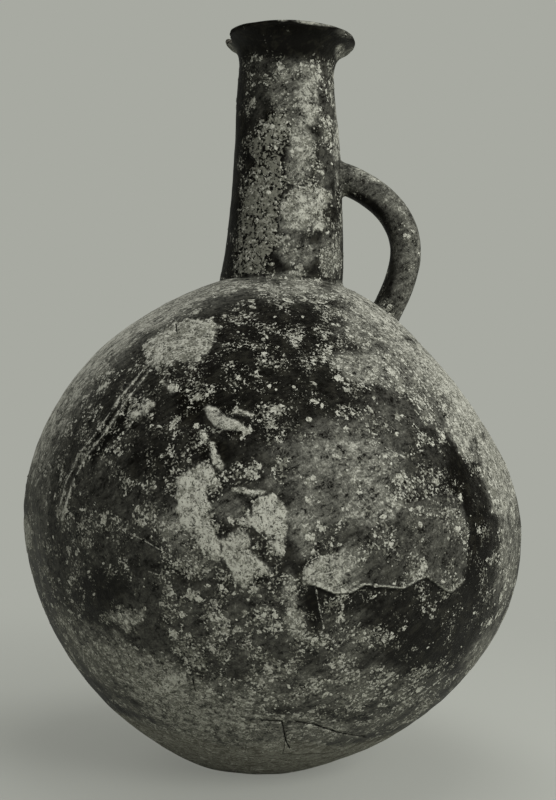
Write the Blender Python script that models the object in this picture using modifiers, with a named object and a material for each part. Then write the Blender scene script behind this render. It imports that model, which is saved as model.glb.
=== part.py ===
"""A round-bodied jug, hand built from clay courses, with a tall neck, a flared mouth and one roll handle.

Units are metres, +Z is up, and the origin is the middle of the small flat base. The handle is at +X.
"""

import math

import bmesh
import bpy
from mathutils import Vector
from mathutils.geometry import interpolate_bezier

GAP = 0.0003  # clearance between pieces that meet
MERGE_DISTANCE = 0.00001
SHARP_ANGLE = math.radians(35)
TURN_STEPS = 56  # facets round a turned piece
RING_STEPS = 24  # facets round the clay at a handle's end
OUTER_ROWS = 8  # facets up the outside of a wall
INNER_ROWS = 4  # and up its inside
CURVE_POINTS = 7  # on each short curve of a profile

# The body is a full ball, drawn in towards its base and mouth. Its two halves have their own curves.
BODY_RADIUS = 0.1705
UPPER_DEPTH = 0.1694
UPPER_RADIAL_POWER = 1.714
UPPER_HEIGHT_POWER = 1.669
LOWER_DEPTH = 0.1803
LOWER_RADIAL_POWER = 1.577
LOWER_HEIGHT_POWER = 2.115
BODY_WALL = 0.007

FLOOR_THICKNESS = 0.011
BASE_RADIUS = 0.036  # of the flat that the jug stands on
WORN_EDGE_WIDTH = 0.0103  # from the flat out to the wall's own curve
WORN_EDGE_RISE = 0.0012  # height gained over that width
BASE_SEAM_HEIGHT = 0.0642  # of the joint between base and lower wall
SHOULDER_DROP = 0.0544  # from the neck's foot down to the joint between upper wall and shoulder
SEAM_SLANT = 0.006  # how much higher a joint lies on the inside of the wall

NECK_FOOT_RADIUS = 0.0429
NECK_TOP_RADIUS = 0.0332
NECK_LENGTH = 0.147  # from the shoulder to the joint with the mouth
NECK_WALL = 0.006
NECK_PLUG = 0.004  # how far the neck's foot shows inside the body

COLLAR_REACH = 0.0035  # out over the shoulder
COLLAR_RISE = 0.0045  # up the neck
COLLAR_EDGE = 0.0008  # thickness of its thin edges

MOUTH_HEIGHT = 0.0245  # of the flared piece, above the neck
MOUTH_FLARE = 0.0124  # how far it spreads past the neck's top
MOUTH_STRAIGHT = 0.0098  # height over which its outside carries on up the neck
MOUTH_TURN = 0.0152  # height at which its outside turns outwards
FLARE_LEAN = 0.0025  # how far it has spread there
FLARE_LIFT = 0.0042  # how much higher the inside makes the same bend
LIP_THICKNESS = 0.0048
LIP_INNER_END = math.radians(150)  # where the lip's round meets the inside of the flare
LIP_OUTER_END = math.radians(-70)  # and the underside
CHIP_DEPTH = 0.0072
CHIP_WIDTH = 0.028
CHIP_AZIMUTH = math.radians(191)  # a little to the front of the side away from the handle
CHIP_TILT = math.radians(38)  # from level, of the blow that took it
CHIP_FACETS = 10  # round the rough pebble that stands for it

HANDLE_RADIUS = 0.0107
HANDLE_SIDES = 16
HANDLE_RISE = 0.0761  # from the neck's foot up to where the handle joins the neck
HANDLE_DROOP = math.radians(16)  # slope with which it leaves the neck
HANDLE_FOOT_OUT = 0.0336  # from the neck's foot out to the middle of the handle's foot
HANDLE_FOOT_LEAN = math.radians(27)  # from upright, where it enters the shoulder
HANDLE_BOW_OUT = 0.0079  # from the foot out to the middle of the handle's outermost point
HANDLE_BOW_RISE = 0.0255  # height of that point above the neck's foot
UPPER_BEND_POINTS = 15
LOWER_BEND_POINTS = 9
TENON_STEP = 0.0033  # how much thinner the roll is where it goes through a wall
TENON_REACH = 0.003  # how far a tenon's end shows inside the wall
TENON_SHOULDER = 0.0035  # from the wall out to where the roll has its full thickness
LUTING_SPREAD = 0.0030  # how far the clay smeared round each end spreads past the handle
LUTING_RISE = 0.006  # and how far it climbs the handle
LUTING_EDGE = 0.0007  # its thickness there

SHERD_AZIMUTH = math.radians(-70)  # faces the front, a little towards the handle
SHERD_OUTLINE = (
    (-0.027, -0.0057),
    (-0.008, -0.0082),
    (0.010, -0.0157),
    (0.034, -0.0232),
    (0.019, -0.0362),
    (-0.015, -0.0342),
    (-0.019, -0.0222),
)  # across, and up from the joint over the base, seen from outside

# The hand-built walls drift sideways, towards the handle where positive: height, drift
DRIFT = (
    (0.000, 0.0000),
    (0.022, 0.0050),
    (0.060, 0.0078),
    (0.107, 0.0091),
    (0.184, 0.0064),
    (0.280, 0.0002),
    (0.332, 0.0070),
    (0.365, 0.0087),
    (0.430, 0.0071),
    (0.476, 0.0049),
    (0.501, 0.0066),
)

BURNISHED_SLIP = (0.010, 0.010, 0.008, 1)
BARE_CLAY = (0.060, 0.052, 0.040, 1)
LIMED_SLIP = (0.110, 0.107, 0.090, 1)


def clear_scene():
    for obj in list(bpy.data.objects):
        bpy.data.objects.remove(obj, do_unlink=True)


def new_collection(name, hidden=False):
    collection = bpy.data.collections.new(name)
    collection.hide_render = hidden
    bpy.context.scene.collection.children.link(collection)
    return collection


def clay(name, colour, roughness):
    material = bpy.data.materials.new(name)
    material.use_nodes = True
    shader = material.node_tree.nodes["Principled BSDF"]
    shader.inputs["Base Color"].default_value = colour
    shader.inputs["Roughness"].default_value = roughness
    shader.inputs["Metallic"].default_value = 0.0
    return material


def drift(height):
    """Sideways drift at a height, on a smooth curve through the stations of DRIFT."""
    heights = [station[0] for station in DRIFT]
    height = min(max(height, heights[0]), heights[-1])
    i = min(sum(height >= h for h in heights), len(DRIFT) - 1)
    before = DRIFT[max(i - 2, 0)]
    low = DRIFT[i - 1]
    high = DRIFT[i]
    after = DRIFT[min(i + 1, len(DRIFT) - 1)]
    span = high[0] - low[0]
    slope_low = (high[1] - before[1]) / (high[0] - before[0]) * span
    slope_high = (after[1] - low[1]) / (after[0] - low[0]) * span
    t = (height - low[0]) / span
    return (
        (2 * t**3 - 3 * t**2 + 1) * low[1]
        + (t**3 - 2 * t**2 + t) * slope_low
        + (3 * t**2 - 2 * t**3) * high[1]
        + (t**3 - t**2) * slope_high
    )


def half_curve(upper):
    """Depth and the two powers of the body's upper or lower half."""
    if upper:
        return UPPER_DEPTH, UPPER_RADIAL_POWER, UPPER_HEIGHT_POWER
    return LOWER_DEPTH, LOWER_RADIAL_POWER, LOWER_HEIGHT_POWER


def offset_at_radius(radius, upper):
    """Distance above or below the girth at which the body's outside has this radius."""
    depth, radial_power, height_power = half_curve(upper)
    return depth * (1 - (radius / BODY_RADIUS) ** radial_power) ** (1 / height_power)


BASE_EDGE_RADIUS = BASE_RADIUS + WORN_EDGE_WIDTH
GIRTH_HEIGHT = offset_at_radius(BASE_EDGE_RADIUS, upper=False) + WORN_EDGE_RISE
NECK_FOOT_HEIGHT = GIRTH_HEIGHT + offset_at_radius(NECK_FOOT_RADIUS, upper=True)
NECK_TOP_HEIGHT = NECK_FOOT_HEIGHT + NECK_LENGTH
SHOULDER_SEAM_HEIGHT = NECK_FOOT_HEIGHT - SHOULDER_DROP
MOUTH_TOP_HEIGHT = NECK_TOP_HEIGHT + MOUTH_HEIGHT
MOUTH_RADIUS = NECK_TOP_RADIUS + MOUTH_FLARE
TENON_RADIUS = HANDLE_RADIUS - TENON_STEP
HANDLE_FOOT_RADIUS = NECK_FOOT_RADIUS + HANDLE_FOOT_OUT


def wall_at(angle, inward=0.0):
    """(radius, height) of a point on the wall, by its angle above the girth, and its outward normal."""
    depth, radial_power, height_power = half_curve(angle > 0)
    side = 1 if angle > 0 else -1
    across = math.cos(angle) ** (2 / radial_power)
    along = math.sin(abs(angle)) ** (2 / height_power)
    normal = Vector((
        radial_power / BODY_RADIUS * across ** (radial_power - 1),
        side * height_power / depth * along ** (height_power - 1),
    )).normalized()
    point = Vector((BODY_RADIUS * across, GIRTH_HEIGHT + side * depth * along))
    return point - inward * normal, normal


def angle_at_height(height):
    offset = height - GIRTH_HEIGHT
    depth, _, height_power = half_curve(offset > 0)
    return math.copysign(math.asin((abs(offset) / depth) ** (height_power / 2)), offset)


def angle_at_radius(radius, upper):
    _, radial_power, _ = half_curve(upper)
    angle = math.acos((radius / BODY_RADIUS) ** (radial_power / 2))
    return angle if upper else -angle


def evenly(low, high, count):
    return [low + (high - low) * i / count for i in range(count + 1)]


def wall_rows(low, high, count, inward=0.0):
    """Points on the wall from one angle to another."""
    return [wall_at(angle, inward)[0] for angle in evenly(low, high, count)]


def seam_angle(height, side, slant=0.0):
    """The angle of a joint's face. side is 1 for the piece above the joint and -1 for the piece below."""
    _, normal = wall_at(angle_at_height(height))
    return angle_at_height(height + slant + side * GAP / 2 / normal.x)


def neck_radius(height):
    share = max(height - NECK_FOOT_HEIGHT, 0) / NECK_LENGTH
    return NECK_FOOT_RADIUS + (NECK_TOP_RADIUS - NECK_FOOT_RADIUS) * share


def bend(start, start_pull, end_pull, end):
    """Points of a short curve in a profile, drawn towards its two pulls."""
    return [Vector(p[:2]) for p in interpolate_bezier(start, start_pull, end_pull, end, CURVE_POINTS)]


def as_mesh(obj, name, collection):
    """The evaluated object as a plain mesh object, in place of the first one."""
    graph = bpy.context.evaluated_depsgraph_get()
    mesh = bpy.data.meshes.new_from_object(obj.evaluated_get(graph))
    shape = bmesh.new()
    shape.from_mesh(mesh)
    bmesh.ops.remove_doubles(shape, verts=shape.verts, dist=MERGE_DISTANCE)
    shape.to_mesh(mesh)
    shape.free()
    made = bpy.data.objects.new(name, mesh)
    made.matrix_world = obj.matrix_world.copy()
    collection.objects.link(made)
    bpy.data.objects.remove(obj, do_unlink=True)
    made.name = name
    mesh.shade_smooth()
    mesh.set_sharp_from_angle(angle=SHARP_ANGLE)
    return made


def turned(name, profile, collection, closed=True, steps=TURN_STEPS):
    """A turned solid. The profile runs up its inner side and down its outer side."""
    mesh = bpy.data.meshes.new(name)
    count = len(profile)
    edges = [(i, (i + 1) % count) for i in range(count if closed else count - 1)]
    mesh.from_pydata([(p[0], 0, p[1]) for p in profile], edges, [])
    obj = bpy.data.objects.new(name + "_profile", mesh)
    collection.objects.link(obj)
    screw = obj.modifiers.new("turn", "SCREW")
    screw.steps = steps
    screw.render_steps = steps
    screw.use_merge_vertices = True
    screw.merge_threshold = MERGE_DISTANCE
    bpy.context.view_layer.update()
    return as_mesh(obj, name, collection)


def drifted(obj):
    """Moves each ring of a turned piece by the drift at its height."""
    for vertex in obj.data.vertices:
        vertex.co.x += drift(vertex.co.z)
    return obj


def aimed(obj, point, direction):
    """Puts a piece that was made along +Z at a point, facing a direction."""
    obj.location = point
    obj.rotation_euler = direction.to_track_quat("Z", "Y").to_euler()
    return obj


def cut(obj, tool, operation="DIFFERENCE"):
    modifier = obj.modifiers.new(operation.lower(), "BOOLEAN")
    modifier.operation = operation
    modifier.object = tool
    modifier.solver = "EXACT"


def hide_tool(obj):
    obj.hide_render = True
    obj.display_type = "WIRE"
    return obj


def course(name, bottom, top, parts):
    """One ring of the body's wall between two joints, given by the heights of the joints."""
    outer = wall_rows(seam_angle(bottom, 1), seam_angle(top, -1), OUTER_ROWS)
    inner_low = seam_angle(bottom, 1, SEAM_SLANT)
    inner_high = seam_angle(top, -1, SEAM_SLANT)
    inner = wall_rows(inner_low, inner_high, INNER_ROWS, BODY_WALL)
    return drifted(turned(name, inner + outer[::-1], parts))


def base_bowl_profile():
    edge = angle_at_radius(BASE_EDGE_RADIUS, upper=False)
    outer = wall_rows(edge, seam_angle(BASE_SEAM_HEIGHT, -1), OUTER_ROWS)
    inner_edge = angle_at_radius(BASE_EDGE_RADIUS + BODY_WALL, upper=False)
    inner = wall_rows(inner_edge, seam_angle(BASE_SEAM_HEIGHT, -1, SEAM_SLANT), INNER_ROWS, BODY_WALL)
    floor = [Vector((0, FLOOR_THICKNESS)), Vector((BASE_RADIUS, FLOOR_THICKNESS))]
    flat = [Vector((BASE_RADIUS, 0)), Vector((0, 0))]
    return floor + inner + outer[::-1] + flat


def make_base(parts, tools):
    """The bowl-shaped base and the broken piece of its wall that is set back in place."""
    profile = base_bowl_profile()
    bowl = drifted(turned("base_bowl", profile, parts, closed=False))
    sherd = drifted(turned("base_sherd", profile, parts, closed=False))
    cut(bowl, sherd_tool("sherd_hole", GAP, tools))
    cut(sherd, sherd_tool("sherd_outline", 0.0, tools), "INTERSECT")
    return bowl, sherd


def grown(outline, by):
    """The outline with each side moved outwards. The outline runs clockwise."""
    points = [Vector(p) for p in outline]
    result = []
    for i, point in enumerate(points):
        before = (point - points[i - 1]).normalized()
        after = (points[(i + 1) % len(points)] - point).normalized()
        out_before = Vector((-before.y, before.x))
        out_after = Vector((-after.y, after.x))
        middle = (out_before + out_after).normalized()
        result.append(point + middle * by / middle.dot(out_before))
    return result


def sherd_tool(name, by, tools):
    """A prism with the sherd's outline, from inside the hollow out through the base's wall."""
    curve = bpy.data.curves.new(name, "CURVE")
    curve.dimensions = "2D"
    curve.fill_mode = "BOTH"
    curve.extrude = (BODY_RADIUS - BASE_RADIUS) / 2
    spline = curve.splines.new("POLY")
    outline = grown(SHERD_OUTLINE, by)
    spline.points.add(len(outline) - 1)
    for point, place in zip(spline.points, outline):
        point.co = (place.x, BASE_SEAM_HEIGHT + place.y, 0, 1)
    spline.use_cyclic_u = True
    obj = bpy.data.objects.new(name + "_curve", curve)
    tools.objects.link(obj)
    quarter_turn = math.radians(90)
    obj.rotation_euler = (quarter_turn, 0, SHERD_AZIMUTH + quarter_turn)
    outwards = Vector((math.cos(SHERD_AZIMUTH), math.sin(SHERD_AZIMUTH), 0))
    obj.location = outwards * (BODY_RADIUS + BASE_RADIUS) / 2
    bpy.context.view_layer.update()
    return hide_tool(as_mesh(obj, name, tools))


def make_shoulder(parts):
    """The closing course of the body, with the hole that the neck stands in."""
    hole = NECK_FOOT_RADIUS + GAP
    top = angle_at_radius(hole, upper=True)
    edge, normal = wall_at(top)
    outer = wall_rows(seam_angle(SHOULDER_SEAM_HEIGHT, 1), top, OUTER_ROWS)
    last_inner = angle_at_radius(hole + BODY_WALL, upper=True)
    inner = wall_rows(seam_angle(SHOULDER_SEAM_HEIGHT, 1, SEAM_SLANT), last_inner, INNER_ROWS, BODY_WALL)
    inner.append(Vector((hole, edge.y - BODY_WALL / normal.y)))
    return drifted(turned("shoulder_wall", inner + outer[::-1], parts))


def make_neck(parts):
    foot = NECK_FOOT_HEIGHT - BODY_WALL - NECK_PLUG
    outer_heights = [foot] + evenly(NECK_FOOT_HEIGHT, NECK_TOP_HEIGHT, OUTER_ROWS)
    inner_heights = evenly(foot, NECK_TOP_HEIGHT + NECK_WALL / 2, INNER_ROWS)
    inner = [Vector((neck_radius(h) - NECK_WALL, h)) for h in inner_heights]
    outer = [Vector((neck_radius(h), h)) for h in outer_heights]
    return drifted(turned("neck", inner + outer[::-1], parts))


def make_collar(parts):
    """The ring of clay pressed into the corner between shoulder and neck."""
    toe_angle = angle_at_radius(NECK_FOOT_RADIUS + COLLAR_REACH, upper=True)
    corner_angle = angle_at_radius(NECK_FOOT_RADIUS + 2 * GAP, upper=True)
    under = wall_rows(toe_angle, corner_angle, INNER_ROWS, -GAP)
    top = NECK_FOOT_HEIGHT + COLLAR_RISE
    side = [Vector((neck_radius(h) + GAP, h)) for h in evenly(under[-1].y + GAP, top, INNER_ROWS)]
    toe = under[0] + Vector((0, COLLAR_EDGE))
    crest = side[-1] + Vector((COLLAR_EDGE, 0))
    corner = Vector((crest.x + COLLAR_EDGE, toe.y + COLLAR_EDGE))
    slope = bend(crest, corner, corner, toe)
    return drifted(turned("neck_collar", under + side[1:] + slope, parts))


def make_mouth(parts, tools):
    """The flared mouth, with the chip that is missing from its lip."""
    base = NECK_TOP_HEIGHT
    bore = NECK_TOP_RADIUS - NECK_WALL
    round_radius = LIP_THICKNESS / 2
    lip = [
        Vector((
            MOUTH_RADIUS - round_radius + round_radius * math.cos(angle),
            MOUTH_TOP_HEIGHT - round_radius + round_radius * math.sin(angle),
        ))
        for angle in evenly(LIP_INNER_END, LIP_OUTER_END, CURVE_POINTS)
    ]
    under = bend(
        Vector((NECK_TOP_RADIUS, base + GAP)),
        Vector((NECK_TOP_RADIUS, base + MOUTH_STRAIGHT)),
        Vector((NECK_TOP_RADIUS + FLARE_LEAN, base + MOUTH_TURN)),
        lip[-1],
    )
    inside = bend(
        Vector((bore, base + NECK_WALL / 2 + GAP)),
        Vector((bore, base + MOUTH_STRAIGHT + FLARE_LIFT)),
        Vector((bore + FLARE_LEAN, base + MOUTH_TURN + FLARE_LIFT)),
        lip[0],
    )
    mouth = drifted(turned("mouth_rim", inside + lip[1:-1] + under[::-1], parts))
    cut(mouth, chip_tool(tools))
    return mouth


def chip_tool(tools):
    """A rough pebble that leaves a scar of the chip's depth and width across the lip's outer corner."""
    radius = ((CHIP_WIDTH / 2) ** 2 + CHIP_DEPTH**2) / (2 * CHIP_DEPTH)
    shape = bmesh.new()
    bmesh.ops.create_uvsphere(shape, u_segments=CHIP_FACETS, v_segments=CHIP_FACETS // 2, radius=radius)
    mesh = bpy.data.meshes.new("chip")
    shape.to_mesh(mesh)
    shape.free()
    obj = bpy.data.objects.new("chip", mesh)
    tools.objects.link(obj)
    outwards = Vector((math.cos(CHIP_AZIMUTH), math.sin(CHIP_AZIMUTH), 0))
    up = Vector((0, 0, 1))
    corner = outwards * MOUTH_RADIUS + up * MOUTH_TOP_HEIGHT + Vector((drift(MOUTH_TOP_HEIGHT), 0, 0))
    blow = outwards * math.cos(CHIP_TILT) + up * math.sin(CHIP_TILT)
    return hide_tool(aimed(obj, corner + blow * (radius - CHIP_DEPTH), blow))


def handle_ends():
    """Where the handle's middle line meets the neck and the shoulder, and its directions away from them."""
    top_height = NECK_FOOT_HEIGHT + HANDLE_RISE
    top = Vector((neck_radius(top_height) + drift(top_height), 0, top_height))
    top_way = Vector((math.cos(HANDLE_DROOP), 0, -math.sin(HANDLE_DROOP)))
    foot, _ = wall_at(angle_at_radius(HANDLE_FOOT_RADIUS, upper=True))
    foot_point = Vector((foot.x + drift(foot.y), 0, foot.y))
    foot_way = Vector((math.sin(HANDLE_FOOT_LEAN), 0, math.cos(HANDLE_FOOT_LEAN)))
    return top, top_way, foot_point, foot_way


def handle_route():
    """Points along the handle's middle line between neck and shoulder."""
    top, top_way, foot, foot_way = handle_ends()
    bow_height = NECK_FOOT_HEIGHT + HANDLE_BOW_RISE
    bow = Vector((HANDLE_FOOT_RADIUS + HANDLE_BOW_OUT + drift(bow_height), 0, bow_height))
    up = Vector((0, 0, 1))
    upper_pull = (top.z - bow.z) / 2
    lower_pull = (bow.z - foot.z) / 3
    upper = interpolate_bezier(
        top, top + top_way * upper_pull, bow + up * upper_pull, bow, UPPER_BEND_POINTS
    )
    lower = interpolate_bezier(
        bow, bow - up * lower_pull, foot + foot_way * lower_pull, foot, LOWER_BEND_POINTS
    )
    return upper + lower[1:]


def tube(name, points, radii, sides, collection):
    """A solid tube along the points, with its own radius at each."""
    curve = bpy.data.curves.new(name, "CURVE")
    curve.dimensions = "3D"
    curve.bevel_depth = 1.0
    curve.bevel_resolution = (sides - 4) // 2
    curve.use_fill_caps = True
    spline = curve.splines.new("POLY")
    spline.points.add(len(points) - 1)
    for point, place, radius in zip(spline.points, points, radii):
        point.co = (*place, 1)
        point.radius = radius
    obj = bpy.data.objects.new(name + "_curve", curve)
    collection.objects.link(obj)
    bpy.context.view_layer.update()
    return as_mesh(obj, name, collection)


def handle_line():
    """The points of the handle's middle line from tenon end to tenon end, and the roll's radius at each."""
    top, top_way, foot, foot_way = handle_ends()
    near = 2 * TENON_SHOULDER
    full = [p for p in handle_route() if (p - top).length > near and (p - foot).length > near]
    start = [
        top - top_way * (NECK_WALL + TENON_REACH),
        top + top_way * GAP,
        top + top_way * TENON_SHOULDER,
    ]
    end = [
        foot + foot_way * TENON_SHOULDER,
        foot + foot_way * GAP,
        foot - foot_way * (BODY_WALL + TENON_REACH),
    ]
    stepped = [TENON_RADIUS, TENON_RADIUS, HANDLE_RADIUS]
    return start + full + end, stepped + [HANDLE_RADIUS] * len(full) + stepped[::-1]


def make_handle(parts):
    """The clay roll. A tenon at each end goes through the wall that the handle stands on."""
    points, radii = handle_line()
    return tube("handle", points, radii, HANDLE_SIDES, parts)


def handle_tool(tools):
    """The handle, larger by the clearance. It opens the walls and the luting for it."""
    points, radii = handle_line()
    return hide_tool(tube("handle_tool", points, [r + GAP for r in radii], HANDLE_SIDES, tools))


def luting(name, point, way, wall, handle, parts):
    """The clay smeared round one end of the handle: a flared ring, hollowed for the wall and the handle."""
    waist = HANDLE_RADIUS + GAP + LUTING_EDGE
    wide = HANDLE_RADIUS + LUTING_SPREAD
    crest = Vector((waist, LUTING_RISE))
    corner = Vector((waist, LUTING_EDGE))
    slope = bend(crest, corner, corner, Vector((wide, 0)))
    blank = [Vector((0, LUTING_RISE))] + slope + [Vector((wide, -wide)), Vector((0, -wide))]
    ring = aimed(turned(name, blank, parts, closed=False, steps=RING_STEPS), point, way)
    cut(ring, wall)
    cut(ring, handle)
    return ring


def neck_tool(tools):
    """The neck as a solid, larger by the clearance."""
    rows = [Vector((neck_radius(h) + GAP, h)) for h in evenly(NECK_FOOT_HEIGHT, NECK_TOP_HEIGHT, OUTER_ROWS)]
    profile = [Vector((0, NECK_TOP_HEIGHT))] + rows[::-1] + [Vector((0, NECK_FOOT_HEIGHT))]
    return hide_tool(drifted(turned("neck_tool", profile, tools, closed=False)))


def shoulder_tool(tools):
    """The body above the girth as a solid, larger by the clearance."""
    low = angle_at_height(GIRTH_HEIGHT)
    seam = angle_at_height(SHOULDER_SEAM_HEIGHT)
    high = angle_at_radius(NECK_FOOT_RADIUS, upper=True)
    rows = wall_rows(low, seam, OUTER_ROWS, -GAP) + wall_rows(seam, high, OUTER_ROWS, -GAP)[1:]
    profile = [Vector((0, rows[-1].y))] + rows[::-1] + [Vector((0, rows[0].y))]
    return hide_tool(drifted(turned("shoulder_tool", profile, tools, closed=False)))


def build():
    clear_scene()
    parts = new_collection("round_bodied_jug")
    tools = new_collection("cutters", hidden=True)
    slip = clay("burnished_black_slip", BURNISHED_SLIP, 0.45)
    bare = clay("worn_clay", BARE_CLAY, 0.8)
    limed = clay("lime_crusted_slip", LIMED_SLIP, 0.75)

    base_bowl, base_sherd = make_base(parts, tools)
    lower_wall = course("lower_wall", BASE_SEAM_HEIGHT, GIRTH_HEIGHT, parts)
    upper_wall = course("upper_wall", GIRTH_HEIGHT, SHOULDER_SEAM_HEIGHT, parts)
    shoulder = make_shoulder(parts)
    neck = make_neck(parts)
    collar = make_collar(parts)
    mouth = make_mouth(parts, tools)
    handle = make_handle(parts)

    grown_handle = handle_tool(tools)
    cut(neck, grown_handle)
    cut(shoulder, grown_handle)
    top, top_way, foot, foot_way = handle_ends()
    upper_luting = luting("upper_handle_luting", top, top_way, neck_tool(tools), grown_handle, parts)
    lower_luting = luting("lower_handle_luting", foot, foot_way, shoulder_tool(tools), grown_handle, parts)

    for obj in (lower_wall, upper_wall, shoulder, mouth, handle, lower_luting):
        obj.data.materials.append(slip)
    for obj in (neck, collar, upper_luting):
        obj.data.materials.append(limed)
    for obj in (base_bowl, base_sherd):
        obj.data.materials.append(bare)


build()
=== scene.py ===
"""The look of the round-bodied jug: finer forms for each of its pieces, and the finish of long-buried clay.

Units are metres in the frame of the CAD: +Z up, handle at +X, front at -Y, origin in the middle of the base.
"""

import math
from functools import partial

import bmesh
import bpy
import numpy as np
from mathutils import Matrix, Vector, noise
from mathutils.bvhtree import BVHTree
from mathutils.geometry import interpolate_bezier


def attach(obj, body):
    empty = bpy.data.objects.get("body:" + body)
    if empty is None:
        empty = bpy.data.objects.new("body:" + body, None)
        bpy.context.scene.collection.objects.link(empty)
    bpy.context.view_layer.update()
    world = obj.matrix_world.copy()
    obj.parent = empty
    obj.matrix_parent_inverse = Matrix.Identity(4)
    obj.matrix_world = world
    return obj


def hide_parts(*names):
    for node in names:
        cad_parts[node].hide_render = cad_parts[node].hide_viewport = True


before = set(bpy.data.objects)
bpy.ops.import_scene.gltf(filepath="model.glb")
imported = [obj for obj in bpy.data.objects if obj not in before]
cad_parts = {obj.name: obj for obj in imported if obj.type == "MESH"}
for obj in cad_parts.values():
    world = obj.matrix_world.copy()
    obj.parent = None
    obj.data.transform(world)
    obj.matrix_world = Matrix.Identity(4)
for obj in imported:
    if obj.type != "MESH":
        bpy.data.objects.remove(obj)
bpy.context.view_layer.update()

# The jug's driving dimensions, as in the CAD
BODY_RADIUS = 0.1705
UPPER_CURVE = (0.1694, 1.714, 1.669)  # depth, radial power, height power
LOWER_CURVE = (0.1803, 1.577, 2.115)
BODY_WALL = 0.007
FLOOR_THICKNESS = 0.011
BASE_RADIUS = 0.036
WORN_EDGE_WIDTH = 0.0103
WORN_EDGE_RISE = 0.0012
BASE_SEAM_HEIGHT = 0.0642
SHOULDER_DROP = 0.0544
SEAM_SLANT = 0.006
NECK_FOOT_RADIUS = 0.0429
NECK_TOP_RADIUS = 0.0332
NECK_LENGTH = 0.147
NECK_WALL = 0.006
NECK_PLUG = 0.004
COLLAR_REACH = 0.0035
COLLAR_RISE = 0.0045
MOUTH_HEIGHT = 0.0245
MOUTH_FLARE = 0.0124
MOUTH_STRAIGHT = 0.0098
MOUTH_TURN = 0.0152
FLARE_LEAN = 0.0025
FLARE_LIFT = 0.0042
LIP_THICKNESS = 0.0048
LIP_INNER_END = math.radians(150)
LIP_OUTER_END = math.radians(-70)
CHIP_DEPTH = 0.0072
CHIP_WIDTH = 0.028
CHIP_AZIMUTH = math.radians(191)
CHIP_TILT = math.radians(38)
HANDLE_RADIUS = 0.0107
HANDLE_RISE = 0.0761
HANDLE_DROOP = math.radians(16)
HANDLE_FOOT_OUT = 0.0336
HANDLE_FOOT_LEAN = math.radians(27)
HANDLE_BOW_OUT = 0.0079
HANDLE_BOW_RISE = 0.0255
TENON_STEP = 0.0033
TENON_REACH = 0.003
LUTING_SPREAD = 0.0030
LUTING_RISE = 0.006
SHERD_AZIMUTH = math.radians(-70)
CRACK_OPENING = 0.00025
SHERD_SHRINKAGE = 0.0001
SHERD_OUTLINE = (
    (-0.027, -0.0057), (-0.008, -0.0082), (0.010, -0.0157), (0.034, -0.0232), (0.019, -0.0362),
    (-0.015, -0.0342), (-0.019, -0.0222),
)
DRIFT = (
    (0.000, 0.0000), (0.022, 0.0050), (0.060, 0.0078), (0.107, 0.0091), (0.184, 0.0064), (0.280, 0.0002),
    (0.332, 0.0070), (0.365, 0.0087), (0.430, 0.0071), (0.476, 0.0049), (0.501, 0.0066),
)

# The camera, level and in front of the jug
CAMERA_PLACE = Vector((0.008, -0.826, 0.2434))
CAMERA_ROLL = math.radians(2.2)
FRAME_HEIGHT = 800  # pixels
FOCAL_PIXELS = 1180
VIEW_CENTRE = (278, 408)
SENSOR = 36.0

# How finely the visible forms are divided
FRONT_STEP = 0.00115
BACK_STEP = 0.003
FRONT_SPREAD = math.radians(105)  # of the finer part, to each side of the front
INNER_ROWS = 12
INNER_MOUTH_STEP = 0.0012
WALL_SAMPLES = 600
HANDLE_STEP = 0.0009
ROLL_SIDES = 84
COLLAR_ROWS = 12
LUTING_ROWS = 14
LUTING_SPOKES = 72
RAY_START = 0.03  # above the wall, where a luting looks for it
FLOOR_SIDES = 96
SHARP_ANGLE = math.radians(38)
PIXEL = 0.0007  # on the jug's axis


def flat(points):
    return np.asarray(points, dtype=float)


STATIONS = flat(DRIFT)


def drift(height):
    """Sideways drift at each height, on a smooth curve through the stations of DRIFT."""
    heights, drifts = STATIONS.T
    height = np.clip(height, heights[0], heights[-1])
    low = np.clip(np.searchsorted(heights, height, side="right") - 1, 0, len(heights) - 2)
    high = low + 1
    before = np.maximum(low - 1, 0)
    after = np.minimum(high + 1, len(heights) - 1)
    span = heights[high] - heights[low]
    slope_low = (drifts[high] - drifts[before]) / (heights[high] - heights[before]) * span
    slope_high = (drifts[after] - drifts[low]) / (heights[after] - heights[low]) * span
    t = (height - heights[low]) / span
    return (
        (2 * t**3 - 3 * t**2 + 1) * drifts[low]
        + (t**3 - 2 * t**2 + t) * slope_low
        + (3 * t**2 - 2 * t**3) * drifts[high]
        + (t**3 - t**2) * slope_high
    )


def offset_at_radius(radius, curve):
    depth, radial_power, height_power = curve
    return depth * (1 - (radius / BODY_RADIUS) ** radial_power) ** (1 / height_power)


BASE_EDGE_RADIUS = BASE_RADIUS + WORN_EDGE_WIDTH
GIRTH_HEIGHT = offset_at_radius(BASE_EDGE_RADIUS, LOWER_CURVE) + WORN_EDGE_RISE
NECK_FOOT_HEIGHT = GIRTH_HEIGHT + offset_at_radius(NECK_FOOT_RADIUS, UPPER_CURVE)
NECK_TOP_HEIGHT = NECK_FOOT_HEIGHT + NECK_LENGTH
SHOULDER_SEAM_HEIGHT = NECK_FOOT_HEIGHT - SHOULDER_DROP
MOUTH_TOP_HEIGHT = NECK_TOP_HEIGHT + MOUTH_HEIGHT
MOUTH_RADIUS = NECK_TOP_RADIUS + MOUTH_FLARE
HANDLE_FOOT_RADIUS = NECK_FOOT_RADIUS + HANDLE_FOOT_OUT


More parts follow.
